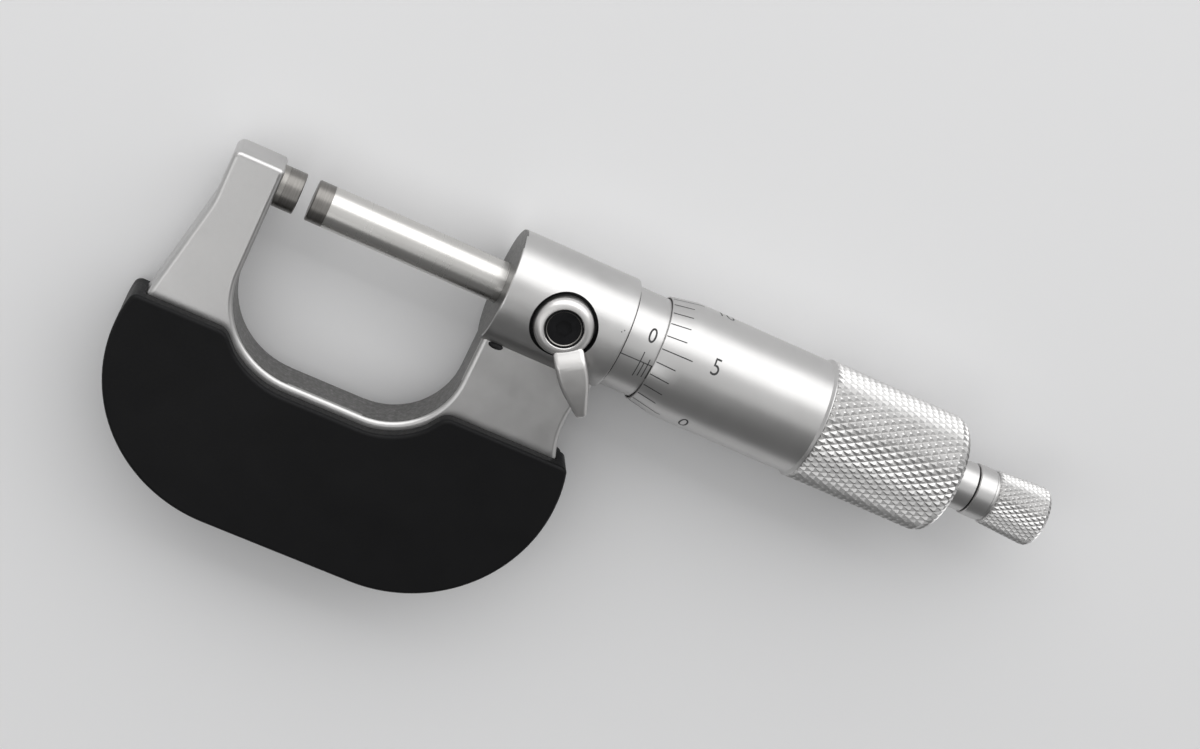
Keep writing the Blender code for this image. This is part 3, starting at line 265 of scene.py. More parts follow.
# Stations along the spindle axis, and the grips' width
GRIP_WIDTH = GRIP_LEFT_OVERHANG + THROAT_WIDTH + GRIP_RIGHT_OVERHANG
ANVIL_FACE = ANVIL_PROTRUSION
SPINDLE_FACE = ANVIL_FACE + READING
HEAD_START = THROAT_WIDTH - HEAD_PROUD
HEAD_END = HEAD_START + HEAD_LENGTH
FRAME_RIGHT = HEAD_END - HEAD_SHORT_OF_EDGE
THIMBLE_START = HEAD_END + VISIBLE_SLEEVE
SCALE_ZERO = THIMBLE_START - READING
SLEEVE_END = SCALE_ZERO + RANGE + SLEEVE_PAST_SCALE
KNURL_START = THIMBLE_START + THIMBLE_SMOOTH_LENGTH
THIMBLE_END = KNURL_START + KNURL_LENGTH
LOCK_X = HEAD_START + LOCK_STATION
KNOB_START = THIMBLE_END + SEAT_GAP + RATCHET_RING_LENGTH + RATCHET_GAP
KNOB_END = KNOB_START + KNOB_LENGTH

# Camera in the tool's axes
CAMERA_PLACE = Vector((-10.88, 87.71, 319.02)) * MM
CAMERA_TURN = (math.radians(-19.739), math.radians(-3.498), math.radians(25.753))
CAMERA_LENS = 65.92
SENSOR_WIDTH = 36.0


def joint(name):
    """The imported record's joint of that name."""
    return next(item for item in frame["joints"] if item["name"] == name)


def tool_axes():
    """Matrix from the tool's own axes to the frame, read from its joints."""
    along = Vector(joint("spindle_travel")["axis"]).normalized()
    out = Vector(joint("lock_turn")["axis"]).normalized()
    across = out.cross(along).normalized()
    out = along.cross(across).normalized()
    origin = Vector(joint("thimble_turn")["pos_m"]) - along * THIMBLE_START
    return Matrix((
        (along.x, across.x, out.x, origin.x),
        (along.y, across.y, out.y, origin.y),
        (along.z, across.z, out.z, origin.z),
        (0.0, 0.0, 0.0, 1.0)))


TOOL = tool_axes()


# Meshes

def turned_mesh(profile, steps):
    """Spin a closed profile of (x, radius) points about the X axis."""
    bm = bmesh.new()
    points = [bm.verts.new((x, 0.0, radius)) for x, radius in profile]
    on_axis = [radius < ON_AXIS for _, radius in profile]
    edges = []
    for index in range(len(points)):
        follower = (index + 1) % len(points)
        if not (on_axis[index] and on_axis[follower]):
            edges.append(bm.edges.new((points[index], points[follower])))
    bmesh.ops.spin(bm, geom=points + edges, cent=(0.0, 0.0, 0.0), axis=(1.0, 0.0, 0.0),
                   angle=2.0 * math.pi, steps=steps, use_merge=True)
    bmesh.ops.remove_doubles(bm, verts=bm.verts, dist=SAME_POINT)
    return bm


def arc(centre, radius, start, end, steps):
    """Points on an arc, both ends included, angles in radians."""
    points = []
    for index in range(steps + 1):
        angle = start + (end - start) * index / steps
        points.append((centre[0] + radius * math.cos(angle), centre[1] + radius * math.sin(angle)))
    return points


def filleted(corners, fillet_steps):
    """Closed outline through (x, y, radius) corners, each rounded by its radius."""
    outline = []
    for index, (x, y, radius) in enumerate(corners):
        corner = Vector((x, y))
        if radius <= 0.0:
            outline.append((x, y))
            continue
        before = Vector(corners[index - 1][:2]) - corner
        after = Vector(corners[(index + 1) % len(corners)][:2]) - corner
        half = before.angle(after) / 2.0
        reach = radius / math.tan(half)
        bisector = (before.normalized() + after.normalized()).normalized()
        centre = corner + bisector * (radius / math.sin(half))
        first = corner + before.normalized() * reach - centre
        last = corner + after.normalized() * reach - centre
        turn = first.angle_signed(last)
        for step in range(fillet_steps + 1):
            swing = Matrix.Rotation(-turn * step / fillet_steps, 2)
            outline.append(tuple(centre + swing @ first))
    return outline


def plate_mesh(outline, low, high, low_edge=0.0, high_edge=0.0, edge_steps=EDGE_STEPS):
    """Extrude an outline from low to high along Z, with rounded edge loops."""
    bm = bmesh.new()
    base = bm.faces.new([bm.verts.new((x, y, low)) for x, y in outline])
    raised = bmesh.ops.extrude_face_region(bm, geom=[base])["geom"]
    lifted = [item for item in raised if isinstance(item, bmesh.types.BMVert)]
    bmesh.ops.translate(bm, verts=lifted, vec=(0.0, 0.0, high - low))
    for level, width in ((low, low_edge), (high, high_edge)):
        if width <= 0.0:
            continue
        rim = [edge for edge in bm.edges
               if all(abs(vert.co.z - level) < SAME_POINT for vert in edge.verts)]
        bmesh.ops.bevel(bm, geom=rim, offset=width, segments=edge_steps,
                        profile=0.5, affect="EDGES", clamp_overlap=True)
    return bm


def sliced(bm, place, normal):
    """Cut every face that crosses a plane, and keep both sides."""
    bmesh.ops.bisect_plane(
        bm, geom=bm.verts[:] + bm.edges[:] + bm.faces[:], plane_co=place, plane_no=normal)


def shift(bm, matrix):
    """Move a whole bmesh by a matrix."""
    bmesh.ops.transform(bm, matrix=matrix, verts=bm.verts)
    return bm


def upright(bm, x, y):
    """Stand a mesh turned about X on end, so that its X becomes +Z at (x, y)."""
    stand = Matrix.Rotation(math.radians(-90.0), 4, "Y")
    return shift(bm, Matrix.Translation((x, y, 0.0)) @ stand)


def loose(bm, name="form"):
    """Turn a bmesh into an object that isn't in the scene's table yet."""
    bmesh.ops.recalc_face_normals(bm, faces=bm.faces)
    mesh = bpy.data.meshes.new(name)
    bm.to_mesh(mesh)
    bm.free()
    made = bpy.data.objects.new(name, mesh)
    bpy.context.scene.collection.objects.link(made)
    return made


def carved(bm, steps):
    """Apply exact Booleans, each (operation, bmesh), and give back the mesh."""
    body = loose(bm)
    helpers = []
    for operation, form in steps:
        helper = loose(form)
        change = body.modifiers.new(operation.lower(), "BOOLEAN")
        change.operation = operation
        change.solver = "EXACT"
        change.object = helper
        helpers.append(helper)
    shown = bpy.context.evaluated_depsgraph_get()
    result = bmesh.new()
    result.from_mesh(body.evaluated_get(shown).to_mesh())
    for item in helpers + [body]:
        bpy.data.objects.remove(item, do_unlink=True)
    return result


def piece(name, bm, materials, body, replaces=(), sharp=SHARP_ANGLE):
    """Place a finished mesh in the tool's axes, on its body; faces count its materials from 0."""
    made = loose(bm, name)
    made.data.shade_smooth()
    made.data.set_sharp_from_angle(angle=sharp)
    for material in materials:
        made.data.materials.append(material)
    weighted = made.modifiers.new("normals", "WEIGHTED_NORMAL")
    weighted.keep_sharp = True
    made.matrix_world = TOOL
    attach(made, body)
    if replaces:
        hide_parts(*replaces)


def diamond_band(stations, radius_at, around, depth_at, flat, core):
    """Knurled sleeve: raised diamonds between crossing grooves, closed by a plain core."""
    bm = bmesh.new()
    step = 2.0 * math.pi / around

    def point(x, turn, height):
        return bm.verts.new((x, height * math.sin(turn), height * math.cos(turn)))

    grid = []
    for row, x in enumerate(stations):
        offset = 0.5 * (row % 2)
        low = radius_at(x) - depth_at(x)
        grid.append([point(x, (index + offset) * step, low) for index in range(around)])
    last = len(stations) - 1
    for row, x in enumerate(stations):
        for near in range(around):
            far = (near + 1) % around
            side = far if row % 2 else near
            turn = (near + 0.5 + 0.5 * (row % 2)) * step
            corners = [(grid[row][near], x, turn - 0.5 * step)]
            if row < last:
                corners.append((grid[row + 1][side], stations[row + 1], turn))
            corners.append((grid[row][far], x, turn + 0.5 * step))
            if row > 0:
                corners.append((grid[row - 1][side], stations[row - 1], turn))
            middle = sum(item[1] for item in corners) / len(corners)
            top = []
            for _, corner_x, corner_turn in corners:
                flat_x = middle + (corner_x - middle) * flat
                flat_turn = turn + (corner_turn - turn) * flat
                top.append(point(flat_x, flat_turn, radius_at(flat_x)))
            bm.faces.new(top)
            for start in range(len(corners)):
                end = (start + 1) % len(corners)
                bm.faces.new((corners[start][0], corners[end][0], top[end], top[start]))
    inner = []
    for row in (0, last):
        offset = 0.5 * (row % 2)
        inner.append([
            point(stations[row], (index + offset) * step, core) for index in range(around)])
    for near in range(around):
        far = (near + 1) % around
        bm.faces.new((grid[0][near], grid[0][far], inner[0][far], inner[0][near]))
        bm.faces.new((grid[last][near], grid[last][far], inner[1][far], inner[1][near]))
        bm.faces.new((inner[0][near], inner[0][far], inner[1][far], inner[1][near]))
    return bm


def knurl_stations(start, end, pitch):
    """Rows of groove crossings, an even number of steps that fits the length."""
    half = 0.5 * pitch / math.tan(KNURL_HELIX)
    count = 2 * round((end - start) / half / 2.0)
    return [start + (end - start) * index / count for index in range(count + 1)]


def rounded_end(x, end, rounding, radius):
    """Radius at a station of a round whose end edge is rounded."""
    past = max(0.0, x - (end - rounding))
    return radius - rounding + math.sqrt(max(0.0, rounding ** 2 - past ** 2))


def fading_depth(x, end, rounding, depth, end_share):
    """Groove depth at a station; the grooves get shallow on the rounded end."""
    left = (end - x) / rounding
    return depth * min(1.0, end_share + (1.0 - end_share) * left)


# Outlines

def frame_centres():
    """Centres of the two big lower corners that frame and grips share."""
    left = -GRIP_LEFT_OVERHANG + GRIP_CORNER_RADIUS
    right = GRIP_WIDTH - GRIP_LEFT_OVERHANG - GRIP_CORNER_RADIUS
    level = -GRIP_DEPTH + GRIP_CORNER_RADIUS
    return (left, level), (right, level)


def rim_angle(rise, radius):
    """Angle above horizontal at which a corner circle reaches a height."""
    return math.asin(rise / radius)


def lower_rim(radius, left_top, right_top, steps):
    """The D-shaped lower rim, from the right top round to the left top."""
    left, right = frame_centres()
    start = rim_angle(right[1] * -1.0 - right_top, radius)
    finish = rim_angle(left[1] * -1.0 - left_top, radius)
    quarter = math.radians(90.0)
    rim = arc(right, radius, start, -quarter, steps)
    rim += arc(left, radius, -quarter, -2.0 * quarter - finish, steps)
    return rim


def frame_outline():
    """Side view of the frame, without its head."""
    rim_radius = GRIP_CORNER_RADIUS - GRIP_WALL - SEAT_GAP
    rim = lower_rim(rim_radius, GRIP_TOP_LEFT, GRIP_TOP_RIGHT, FRAME_RIM_STEPS)
    corners = [
        (-ARM_WIDTH, ARM_TOP, ARM_TOP_OUTER_RADIUS),
        (0.0, ARM_TOP, ARM_TOP_INNER_RADIUS),
        (0.0, -THROAT_DEPTH, THROAT_LEFT_RADIUS),
        (THROAT_WIDTH, -THROAT_DEPTH, THROAT_RIGHT_RADIUS),
        (THROAT_WIDTH, -SPINDLE_RADIUS, 0.0),
        (FRAME_RIGHT, -SPINDLE_RADIUS, 0.0),
        (FRAME_RIGHT, -WAIST_TOP, 0.0),
        (FRAME_RIGHT - WAIST_INSET, -WAIST_DEPTH, WAIST_RADIUS),
    ]
    corners += [(x, y, 0.0) for x, y in rim]
    corners.append((-ARM_WIDTH, -ARM_FLARE_START, ARM_FLARE_RADIUS))
    return filleted(corners, FRAME_FILLET_STEPS)


def grip_outline(drop):
    """Front view of a grip: the D of the rim, open round the throat, its top edges lowered.

    Arc points next to a fillet are left out, to make room for it.
    """
    left_top = GRIP_TOP_LEFT + drop
    right_top = GRIP_TOP_RIGHT + drop
    rim = lower_rim(GRIP_CORNER_RADIUS, left_top, right_top, GRIP_RIM_STEPS)
    left = (THROAT_LEFT_RADIUS, -THROAT_DEPTH + THROAT_LEFT_RADIUS)
    right = (THROAT_WIDTH - THROAT_RIGHT_RADIUS, -THROAT_DEPTH + THROAT_RIGHT_RADIUS)
    left_reach = THROAT_LEFT_RADIUS + GRIP_RIM
    right_reach = THROAT_RIGHT_RADIUS + GRIP_RIM
    quarter = math.radians(90.0)
    left_start = -2.0 * quarter + rim_angle(left_top + left[1], left_reach)
    right_end = -rim_angle(right_top + right[1], right_reach)
    throat = arc(left, left_reach, left_start, -quarter, GRIP_THROAT_STEPS)
    throat += arc(right, right_reach, -quarter, right_end, GRIP_THROAT_STEPS)
    corners = [(*rim[0], GRIP_TIP_RADIUS)]
    corners += [(x, y, 0.0) for x, y in rim[GRIP_TIP_ROOM:-GRIP_TIP_ROOM]]
    corners.append((*rim[-1], GRIP_TIP_RADIUS))
    corners.append((*throat[0], GRIP_SHOULDER_RADIUS))
    corners += [(x, y, 0.0) for x, y in throat[GRIP_SHOULDER_ROOM:-GRIP_SHOULDER_ROOM]]
    corners.append((*throat[-1], GRIP_SHOULDER_RADIUS))
    return filleted(corners, GRIP_FILLET_STEPS)


def grip_pocket_outline(drop):
    """The room inside a grip's wall, open at the top."""
    radius = GRIP_CORNER_RADIUS - GRIP_WALL
    rim = lower_rim(radius, GRIP_TOP_LEFT + drop, GRIP_TOP_RIGHT + drop, GRIP_RIM_STEPS)
    top = CUT_MARGIN - THROAT_DEPTH / 2.0
    return rim + [(rim[-1][0], top), (rim[0][0], top)]


def lever_outline():
    """Sail-shaped thumb piece, drawn along +X from the hub's centre."""
    near_tip = LEVER_TIP_OFFSET - LEVER_TIP_WIDTH / 2.0
    far_tip = LEVER_TIP_OFFSET + LEVER_TIP_WIDTH / 2.0
    return filleted([
        (LEVER_START, -LEVER_NEAR_SIDE, LEVER_CORNER_RADIUS),
        (LEVER_BELLY, -LEVER_NEAR_SIDE, LEVER_SIDE_RADIUS),
        (LEVER_LENGTH, near_tip, LEVER_TIP_RADIUS),
        (LEVER_LENGTH, far_tip, LEVER_TIP_RADIUS),
        (LEVER_BELLY, LEVER_FAR_SIDE, LEVER_SIDE_RADIUS),
        (LEVER_START, LEVER_FAR_SIDE - LEVER_NECK, LEVER_CORNER_RADIUS)], LEVER_FILLET_STEPS)


# Materials

EVEN = (1.0, 1.0, 1.0)
PLATED = (0.57, 0.565, 0.56)
JET_BLACK = (0.003, 0.003, 0.0035)
# Near-black shared by the painted shade on gap walls and the engraving paint.
SHADE_AND_INK_BLACK = (0.012, 0.012, 0.013)


def new_material(name, metallic, roughness):
    """Node material with a principled shader; gives back its tree and shader."""
    made = bpy.data.materials.new(name)
    made.use_nodes = True
    tree = made.node_tree
    shader = tree.nodes["Principled BSDF"]
    shader.inputs["Metallic"].default_value = metallic
    shader.inputs["Roughness"].default_value = roughness
    return made, tree, shader


def add_node(tree, kind, inputs=None, **settings):
    """Add a node with its settings, and with values or links for its inputs."""
    node = tree.nodes.new(kind)
    for key, value in settings.items():
        setattr(node, key, value)
    for key, value in (inputs or {}).items():
        if isinstance(value, bpy.types.NodeSocket):
            tree.links.new(value, node.inputs[key])
        else:
            node.inputs[key].default_value = value
    return node


def noise(tree, scale, detail, squeeze=EVEN, roughness=0.6):
    """Noise in the piece's own axes, squeezed by a factor on each axis."""
    place = add_node(tree, "ShaderNodeTexCoord")
    mapped = add_node(tree, "ShaderNodeMapping", {
        "Vector": place.outputs["Object"], "Scale": squeeze})
    made = add_node(tree, "ShaderNodeTexNoise", {
        "Vector": mapped.outputs["Vector"], "Scale": scale, "Detail": detail,
        "Roughness": roughness})
    return made.outputs["Fac"]


def drive(tree, shader, socket, pattern, stops):
    """Lead a pattern to the shader through (position, colour) stops; a number is a grey."""
    node = add_node(tree, "ShaderNodeValToRGB", {"Fac": pattern})
    while len(node.color_ramp.elements) < len(stops):
        node.color_ramp.elements.new(0.5)
    for element, (position, colour) in zip(node.color_ramp.elements, stops):
        element.position = position
        if isinstance(colour, float):
            colour = (colour, colour, colour)
        element.color = (*colour, 1.0)
    tree.links.new(node.outputs["Color"], shader.inputs[socket])


def bump(tree, shader, pattern, strength, distance):
    """Bump the shader's normal by a pattern."""
    node = add_node(tree, "ShaderNodeBump", {
        "Height": pattern, "Strength": strength, "Distance": distance})
    tree.links.new(node.outputs["Normal"], shader.inputs["Normal"])


def satin_chrome(name, colour, roughness, grain):
    """Blasted and plated steel: fine grain and faint cloudiness."""
    made, tree, shader = new_material(name, 1.0, roughness)
    cloud = noise(tree, 160.0, 3.0)
    darker = tuple(part * 0.93 for part in colour)
    drive(tree, shader, "Base Color", cloud, [(0.35, darker), (0.65, colour)])
    drive(tree, shader, "Roughness", cloud, [(0.3, roughness - 0.03), (0.7, roughness + 0.04)])
    bump(tree, shader, noise(tree, 5200.0, 2.0, roughness=0.7), grain, 0.03 * MM)
    return made


def turned_steel(name, colour, roughness, lines):
    """Turned or ground metal: faint fine rings round the axis and a soft sheen."""
    made, tree, shader = new_material(name, 1.0, roughness)
    rings = noise(tree, 1500.0, 2.0, (2.6, 0.03, 0.03), 0.5)
    darker = tuple(part * 0.95 for part in colour)
    drive(tree, shader, "Base Color", noise(tree, 140.0, 3.0), [(0.35, darker), (0.65, colour)])
    drive(tree, shader, "Roughness", rings, [(0.3, roughness - 0.01), (0.7, roughness + 0.015)])
    bump(tree, shader, rings, lines, 0.01 * MM)
    return made


def carbide(name):
    """Dark sintered disc with a lapped face."""
    made, tree, shader = new_material(name, 1.0, 0.33)
    speck = noise(tree, 900.0, 2.0, (5.0, 0.3, 0.3))
    drive(tree, shader, "Base Color", speck, [
        (0.3, (0.19, 0.183, 0.173)), (0.7, (0.25, 0.241, 0.228))])
    bump(tree, shader, speck, 0.04, 0.01 * MM)
    return made


def grip_plastic(name):
    """Matt black moulded plastic with a fine even grain."""
    made, tree, shader = new_material(name, 0.0, 0.5)
    shader.inputs["Specular IOR Level"].default_value = 0.17
    grain = noise(tree, 2400.0, 3.0, roughness=0.55)
    drive(tree, shader, "Base Color", noise(tree, 90.0, 2.0), [
        (0.3, JET_BLACK), (0.7, (0.005, 0.005, 0.0055))])
    drive(tree, shader, "Roughness", grain, [(0.3, 0.42), (0.7, 0.56)])
    bump(tree, shader, grain, 0.25, 0.04 * MM)
    return made


def black_oxide(name):
    """Blackened glossy steel."""
    made, tree, shader = new_material(name, 0.0, 0.14)
    shader.inputs["Specular IOR Level"].default_value = 0.4
    cloud = noise(tree, 500.0, 2.0)
    drive(tree, shader, "Base Color", cloud, [(0.3, JET_BLACK), (0.7, (0.008, 0.008, 0.009))])
    bump(tree, shader, cloud, 0.15, 0.05 * MM)
    return made


def cast_wall(name):
    """Side wall of the casting round the throat: plated, coarser and speckled, and darkened by
    painted shade.
    """
    made, tree, shader = new_material(name, 1.0, 0.42)
    speck = noise(tree, 1400.0, 3.0, roughness=0.75)
    # Dark greys: painted shade on the throat walls, broken up by the speckle.
    drive(tree, shader, "Base Color", speck, [
        (0.4, (0.15, 0.148, 0.145)), (0.6, (0.22, 0.217, 0.213)), (0.75, (0.32, 0.316, 0.31))])
    bump(tree, shader, speck, 0.25, 0.08 * MM)
    return made


def sooty_steel(name):
    """Dark steel for the walls of gaps, recesses and seams: painted shade where little light
    reaches.
    """
    made, tree, shader = new_material(name, 0.4, 0.55)
    cloud = noise(tree, 900.0, 3.0)
    drive(tree, shader, "Base Color", cloud, [(0.3, SHADE_AND_INK_BLACK), (0.7, (0.04, 0.04, 0.042))])
    bump(tree, shader, cloud, 0.2, 0.05 * MM)
    return made


def engraving(name):
    """Black paint in engraved marks, a little uneven."""
    made, tree, shader = new_material(name, 0.0, 0.6)
    drive(tree, shader, "Base Color", noise(tree, 1800.0, 2.0), [
        (0.3, SHADE_AND_INK_BLACK), (0.75, (0.05, 0.05, 0.052))])
    return made


def floor_paper(name):
    """Pale matt paper."""
    made, tree, shader = new_material(name, 0.0, 0.7)
    drive(tree, shader, "Base Color", noise(tree, 3.0, 2.0), [
        (0.3, (0.76, 0.76, 0.765)), (0.7, (0.8, 0.8, 0.805))])
    return made


CAST = satin_chrome("frame_chrome", PLATED, 0.33, 0.3)
BARREL = turned_steel("barrel_chrome", PLATED, 0.34, 0.05)
KNURLED = satin_chrome("knurl_chrome", (0.64, 0.635, 0.63), 0.34, 0.12)
LEVER_CHROME = satin_chrome("lever_chrome", (0.7, 0.69, 0.68), 0.36, 0.12)
GROUND = turned_steel("ground_steel_finish", (0.64, 0.63, 0.61), 0.28, 0.02)
DARK_GROUND = turned_steel("anvil_finish", (0.3, 0.29, 0.275), 0.33, 0.03)
CARBIDE = carbide("carbide_finish")
PLASTIC = grip_plastic("grip_finish")
OXIDE = black_oxide("black_oxide_finish")
GAP_SHADE = sooty_steel("painted_gap_shade")
THROAT_WALL_GRAIN_AND_SHADE = cast_wall("throat_wall_grain_and_painted_shade")
BRASS = turned_steel("brass_finish", (0.6, 0.43, 0.2), 0.3, 0.1)
PAINT = engraving("engraving_paint")
FLOOR_PAPER = floor_paper("floor_paper")


# Pieces

def in_throat(spot):
    """Whether a wall's middle faces the throat, the head's end face included."""
    across = -FIXED_GAP < spot.x < THROAT_WIDTH + FIXED_GAP
    under_arm_top = spot.y < ARM_TOP - ARM_TOP_INNER_RADIUS
    return across and -THROAT_DEPTH - FIXED_GAP < spot.y and (under_arm_top or spot.x > ARM_TOP)


def in_pocket(spot):
    """Whether a face's middle lies in the small pocket beside the head."""
    away = spot - Vector(POCKET_CENTRE)
    away.x *= POCKET_RADIUS / POCKET_HALF_LENGTH
    return away.length < POCKET_RADIUS * POCKET_MARGIN


def in_gap(spot, normal):
    """Whether a face's middle lies in the lock's recess or the spindle's bore."""
    in_recess = math.hypot(spot.x - LOCK_X, spot.y) < LOCK_RECESS_RADIUS + FIXED_GAP
    wall_or_floor = abs(normal.z) < STEEP or abs(spot.z - LOCK_RECESS_FLOOR) < FIXED_GAP
    in_bore = math.hypot(spot.y, spot.z) < SPINDLE_RADIUS + 2.0 * RUNNING_GAP
    return (in_recess and wall_or_floor and spot.z > 0.0) or (in_bore and spot.x > HEAD_START)


def build_frame():
    """U frame with its turned head, lock recess and spindle bore."""
    half = FRAME_THICK / 2.0
    body = plate_mesh(frame_outline(), -half, half, FRAME_EDGE_RADIUS, FRAME_EDGE_RADIUS)
    head = turned_mesh([
        (HEAD_START, 0.0), (HEAD_START, HEAD_RADIUS - HEAD_EDGE),
        (HEAD_START + HEAD_EDGE * HEAD_EDGE_MIDDLE, HEAD_RADIUS - HEAD_EDGE * HEAD_EDGE_MIDDLE),
        (HEAD_START + HEAD_EDGE, HEAD_RADIUS), (HEAD_END - HEAD_EDGE, HEAD_RADIUS),
        (HEAD_END - HEAD_EDGE * HEAD_EDGE_MIDDLE, HEAD_RADIUS - HEAD_EDGE * HEAD_EDGE_MIDDLE),
        (HEAD_END, HEAD_RADIUS - HEAD_EDGE), (HEAD_END, 0.0)], ROUND)
    bore = turned_mesh([
        (HEAD_START - CUT_MARGIN, 0.0), (HEAD_START - CUT_MARGIN, SPINDLE_RADIUS + RUNNING_GAP),
        (HEAD_START + 2.0 * CUT_MARGIN, SPINDLE_RADIUS + RUNNING_GAP),
        (HEAD_START + 2.0 * CUT_MARGIN, 0.0)], SMALL_ROUND)
    recess = upright(turned_mesh([
        (LOCK_RECESS_FLOOR, 0.0), (LOCK_RECESS_FLOOR, LOCK_RECESS_RADIUS),
        (HEAD_RADIUS + CUT_MARGIN, LOCK_RECESS_RADIUS), (HEAD_RADIUS + CUT_MARGIN, 0.0)],
        SMALL_ROUND), LOCK_X, 0.0)
    pocket = turned_mesh([
        (along * POCKET_HALF_LENGTH / POCKET_RADIUS, radius)
        for along, radius in arc((0.0, 0.0), POCKET_RADIUS, 0.0, math.pi, POCKET_STEPS)],
        POCKET_ROUND)
    shift(pocket, Matrix.Translation(POCKET_CENTRE))
    made = carved(body, [
        ("UNION", head), ("DIFFERENCE", bore), ("DIFFERENCE", recess), ("DIFFERENCE", pocket)])
    # Lock recess, spindle bore and pocket walls get painted shade (slot 1); the walls round the
    # throat get speckled grain darkened by painted shade (slot 2).
    for face in made.faces:
        spot = face.calc_center_median()
        if in_gap(spot, face.normal) or in_pocket(spot):
            face.material_index = 1
        elif abs(face.normal.z) < STEEP and in_throat(spot):
            face.material_index = 2
    piece("frame_casting", made, (CAST, GAP_SHADE, THROAT_WALL_GRAIN_AND_SHADE), "frame", ["frame"])


def build_grip(name, node, side, drop):
    """One grip shell; side is 1 for the front and -1 for the back."""
    floor = FRAME_THICK / 2.0 + SEAT_GAP
    mirror = Matrix.Scale(side, 4, (0.0, 0.0, 1.0))
    shell = plate_mesh(
        grip_outline(drop), SEAT_GAP / 2.0, floor + GRIP_THICK, 0.0, GRIP_EDGE_RADIUS)
    pocket = plate_mesh(grip_pocket_outline(drop), -CUT_MARGIN, floor)
    made = carved(shift(shell, mirror), [("DIFFERENCE", shift(pocket, mirror))])
    piece(name, made, [PLASTIC], "frame", [node])


def build_anvil_and_spindle():
    """Anvil, spindle stem and their two lapped carbide tips."""
    body_end = ANVIL_FACE - TIP_LENGTH - FIXED_GAP
    piece("anvil_body", turned_mesh([
        (-CUT_MARGIN, 0.0), (-CUT_MARGIN, SPINDLE_RADIUS), (body_end, SPINDLE_RADIUS),
        (body_end, 0.0)], SMALL_ROUND), [DARK_GROUND], "frame", ["anvil"])
    tip_back = SPINDLE_FACE + TIP_LENGTH
    for name, node, body, back, face in (
            ("anvil_face_disc", "anvil_tip", "frame", ANVIL_FACE - TIP_LENGTH, ANVIL_FACE),
            ("spindle_face_disc", "spindle_tip", "spindle", tip_back, SPINDLE_FACE)):
        inward = math.copysign(FACE_CHAMFER, back - face)
        piece(name, turned_mesh([
            (back, 0.0), (back, SPINDLE_RADIUS), (face + inward, SPINDLE_RADIUS),
            (face, SPINDLE_RADIUS - FACE_CHAMFER), (face, 0.0)], SMALL_ROUND),
            [CARBIDE], body, [node])
    start = tip_back + FIXED_GAP
    end = HEAD_START + RANGE + STEM_PAST_HEAD
    piece("spindle_stem", turned_mesh([
        (start, 0.0), (start, SPINDLE_RADIUS), (end, SPINDLE_RADIUS), (end, 0.0)], SMALL_ROUND),
        [GROUND], "spindle", ["spindle"])


def build_sleeve():
    """Graduated sleeve with the spanner hole at its back."""
    start = HEAD_END + SEAT_GAP
    edge = FACE_CHAMFER
    body = turned_mesh([
        (start, SLEEVE_BORE_RADIUS), (start, SLEEVE_RADIUS - edge), (start + edge, SLEEVE_RADIUS),
        (SLEEVE_END, SLEEVE_RADIUS), (SLEEVE_END, SLEEVE_BORE_RADIUS)], ROUND)
    inside = -SLEEVE_BORE_RADIUS / 2.0
    hole = upright(turned_mesh([
        (-HEAD_RADIUS, 0.0), (-HEAD_RADIUS, SPANNER_HOLE_RADIUS), (inside, SPANNER_HOLE_RADIUS),
        (inside, 0.0)], HOLE_ROUND), HEAD_END + SPANNER_HOLE_INSET, 0.0)
    made = carved(body, [("DIFFERENCE", hole)])
    # The front chamfer and the spanner hole's wall get painted shade (slot 1): a dark seam line
    # beside the head.
    for face in made.faces:
        spot = face.calc_center_median()
        from_hole = math.hypot(spot.x - HEAD_END - SPANNER_HOLE_INSET, spot.y)
        if spot.x < start + edge or from_hole < SPANNER_HOLE_RADIUS:
            face.material_index = 1
    piece("scale_sleeve", made, (BARREL, GAP_SHADE), "frame", ["sleeve"])


def build_thimble():
    """Smooth barrel with its reading cone, and the knurled grip band."""
    core = THIMBLE_RADIUS - FIXED_GAP
    band_start = KNURL_START + KNURL_LEAD_CHAMFER
    edge = FACE_CHAMFER
    rounding = arc((THIMBLE_END - KNURL_END_RADIUS, core - KNURL_END_RADIUS), KNURL_END_RADIUS,
                   math.radians(90.0), 0.0, KNURL_END_STEPS)
    profile = [
        (THIMBLE_START, THIMBLE_BORE_RADIUS), (THIMBLE_START, THIMBLE_EDGE_RADIUS - edge / 2.0),
        (THIMBLE_START + edge / 2.0, THIMBLE_EDGE_RADIUS),
        (THIMBLE_START + READING_CONE_LENGTH, THIMBLE_RADIUS), (KNURL_START, THIMBLE_RADIUS),
        (band_start, KNURL_RADIUS), (band_start + edge, KNURL_RADIUS), (band_start + edge, core)]
    profile += rounding
    profile += [
        (THIMBLE_END, THIMBLE_END_FACE_RADIUS),
        (THIMBLE_END - THIMBLE_END_DISH, THIMBLE_END_FACE_RADIUS - THIMBLE_END_DISH),
        (THIMBLE_END - THIMBLE_END_DISH, 0.0), (SLEEVE_END + RANGE, 0.0),
        (SLEEVE_END + RANGE, THIMBLE_BORE_RADIUS)]
    piece("thimble_barrel", turned_mesh(profile, ROUND), [BARREL], "thimble", ["thimble"])

    def radius_at(x):
        return rounded_end(x, THIMBLE_END, KNURL_END_RADIUS, KNURL_RADIUS)

    def depth_at(x):
        return fading_depth(x, THIMBLE_END, KNURL_END_RADIUS, KNURL_DEPTH, KNURL_END_SHARE)

    stations = knurl_stations(band_start + edge / 2.0, THIMBLE_END - FIXED_GAP, KNURL_PITCH)
    around = round(2.0 * math.pi * KNURL_RADIUS / KNURL_PITCH)
    band = diamond_band(
        stations, radius_at, around, depth_at, KNURL_FLAT, THIMBLE_END_FACE_RADIUS)
    piece("thimble_knurl", band, [KNURLED], "thimble", (), KNURL_SHARP_ANGLE)


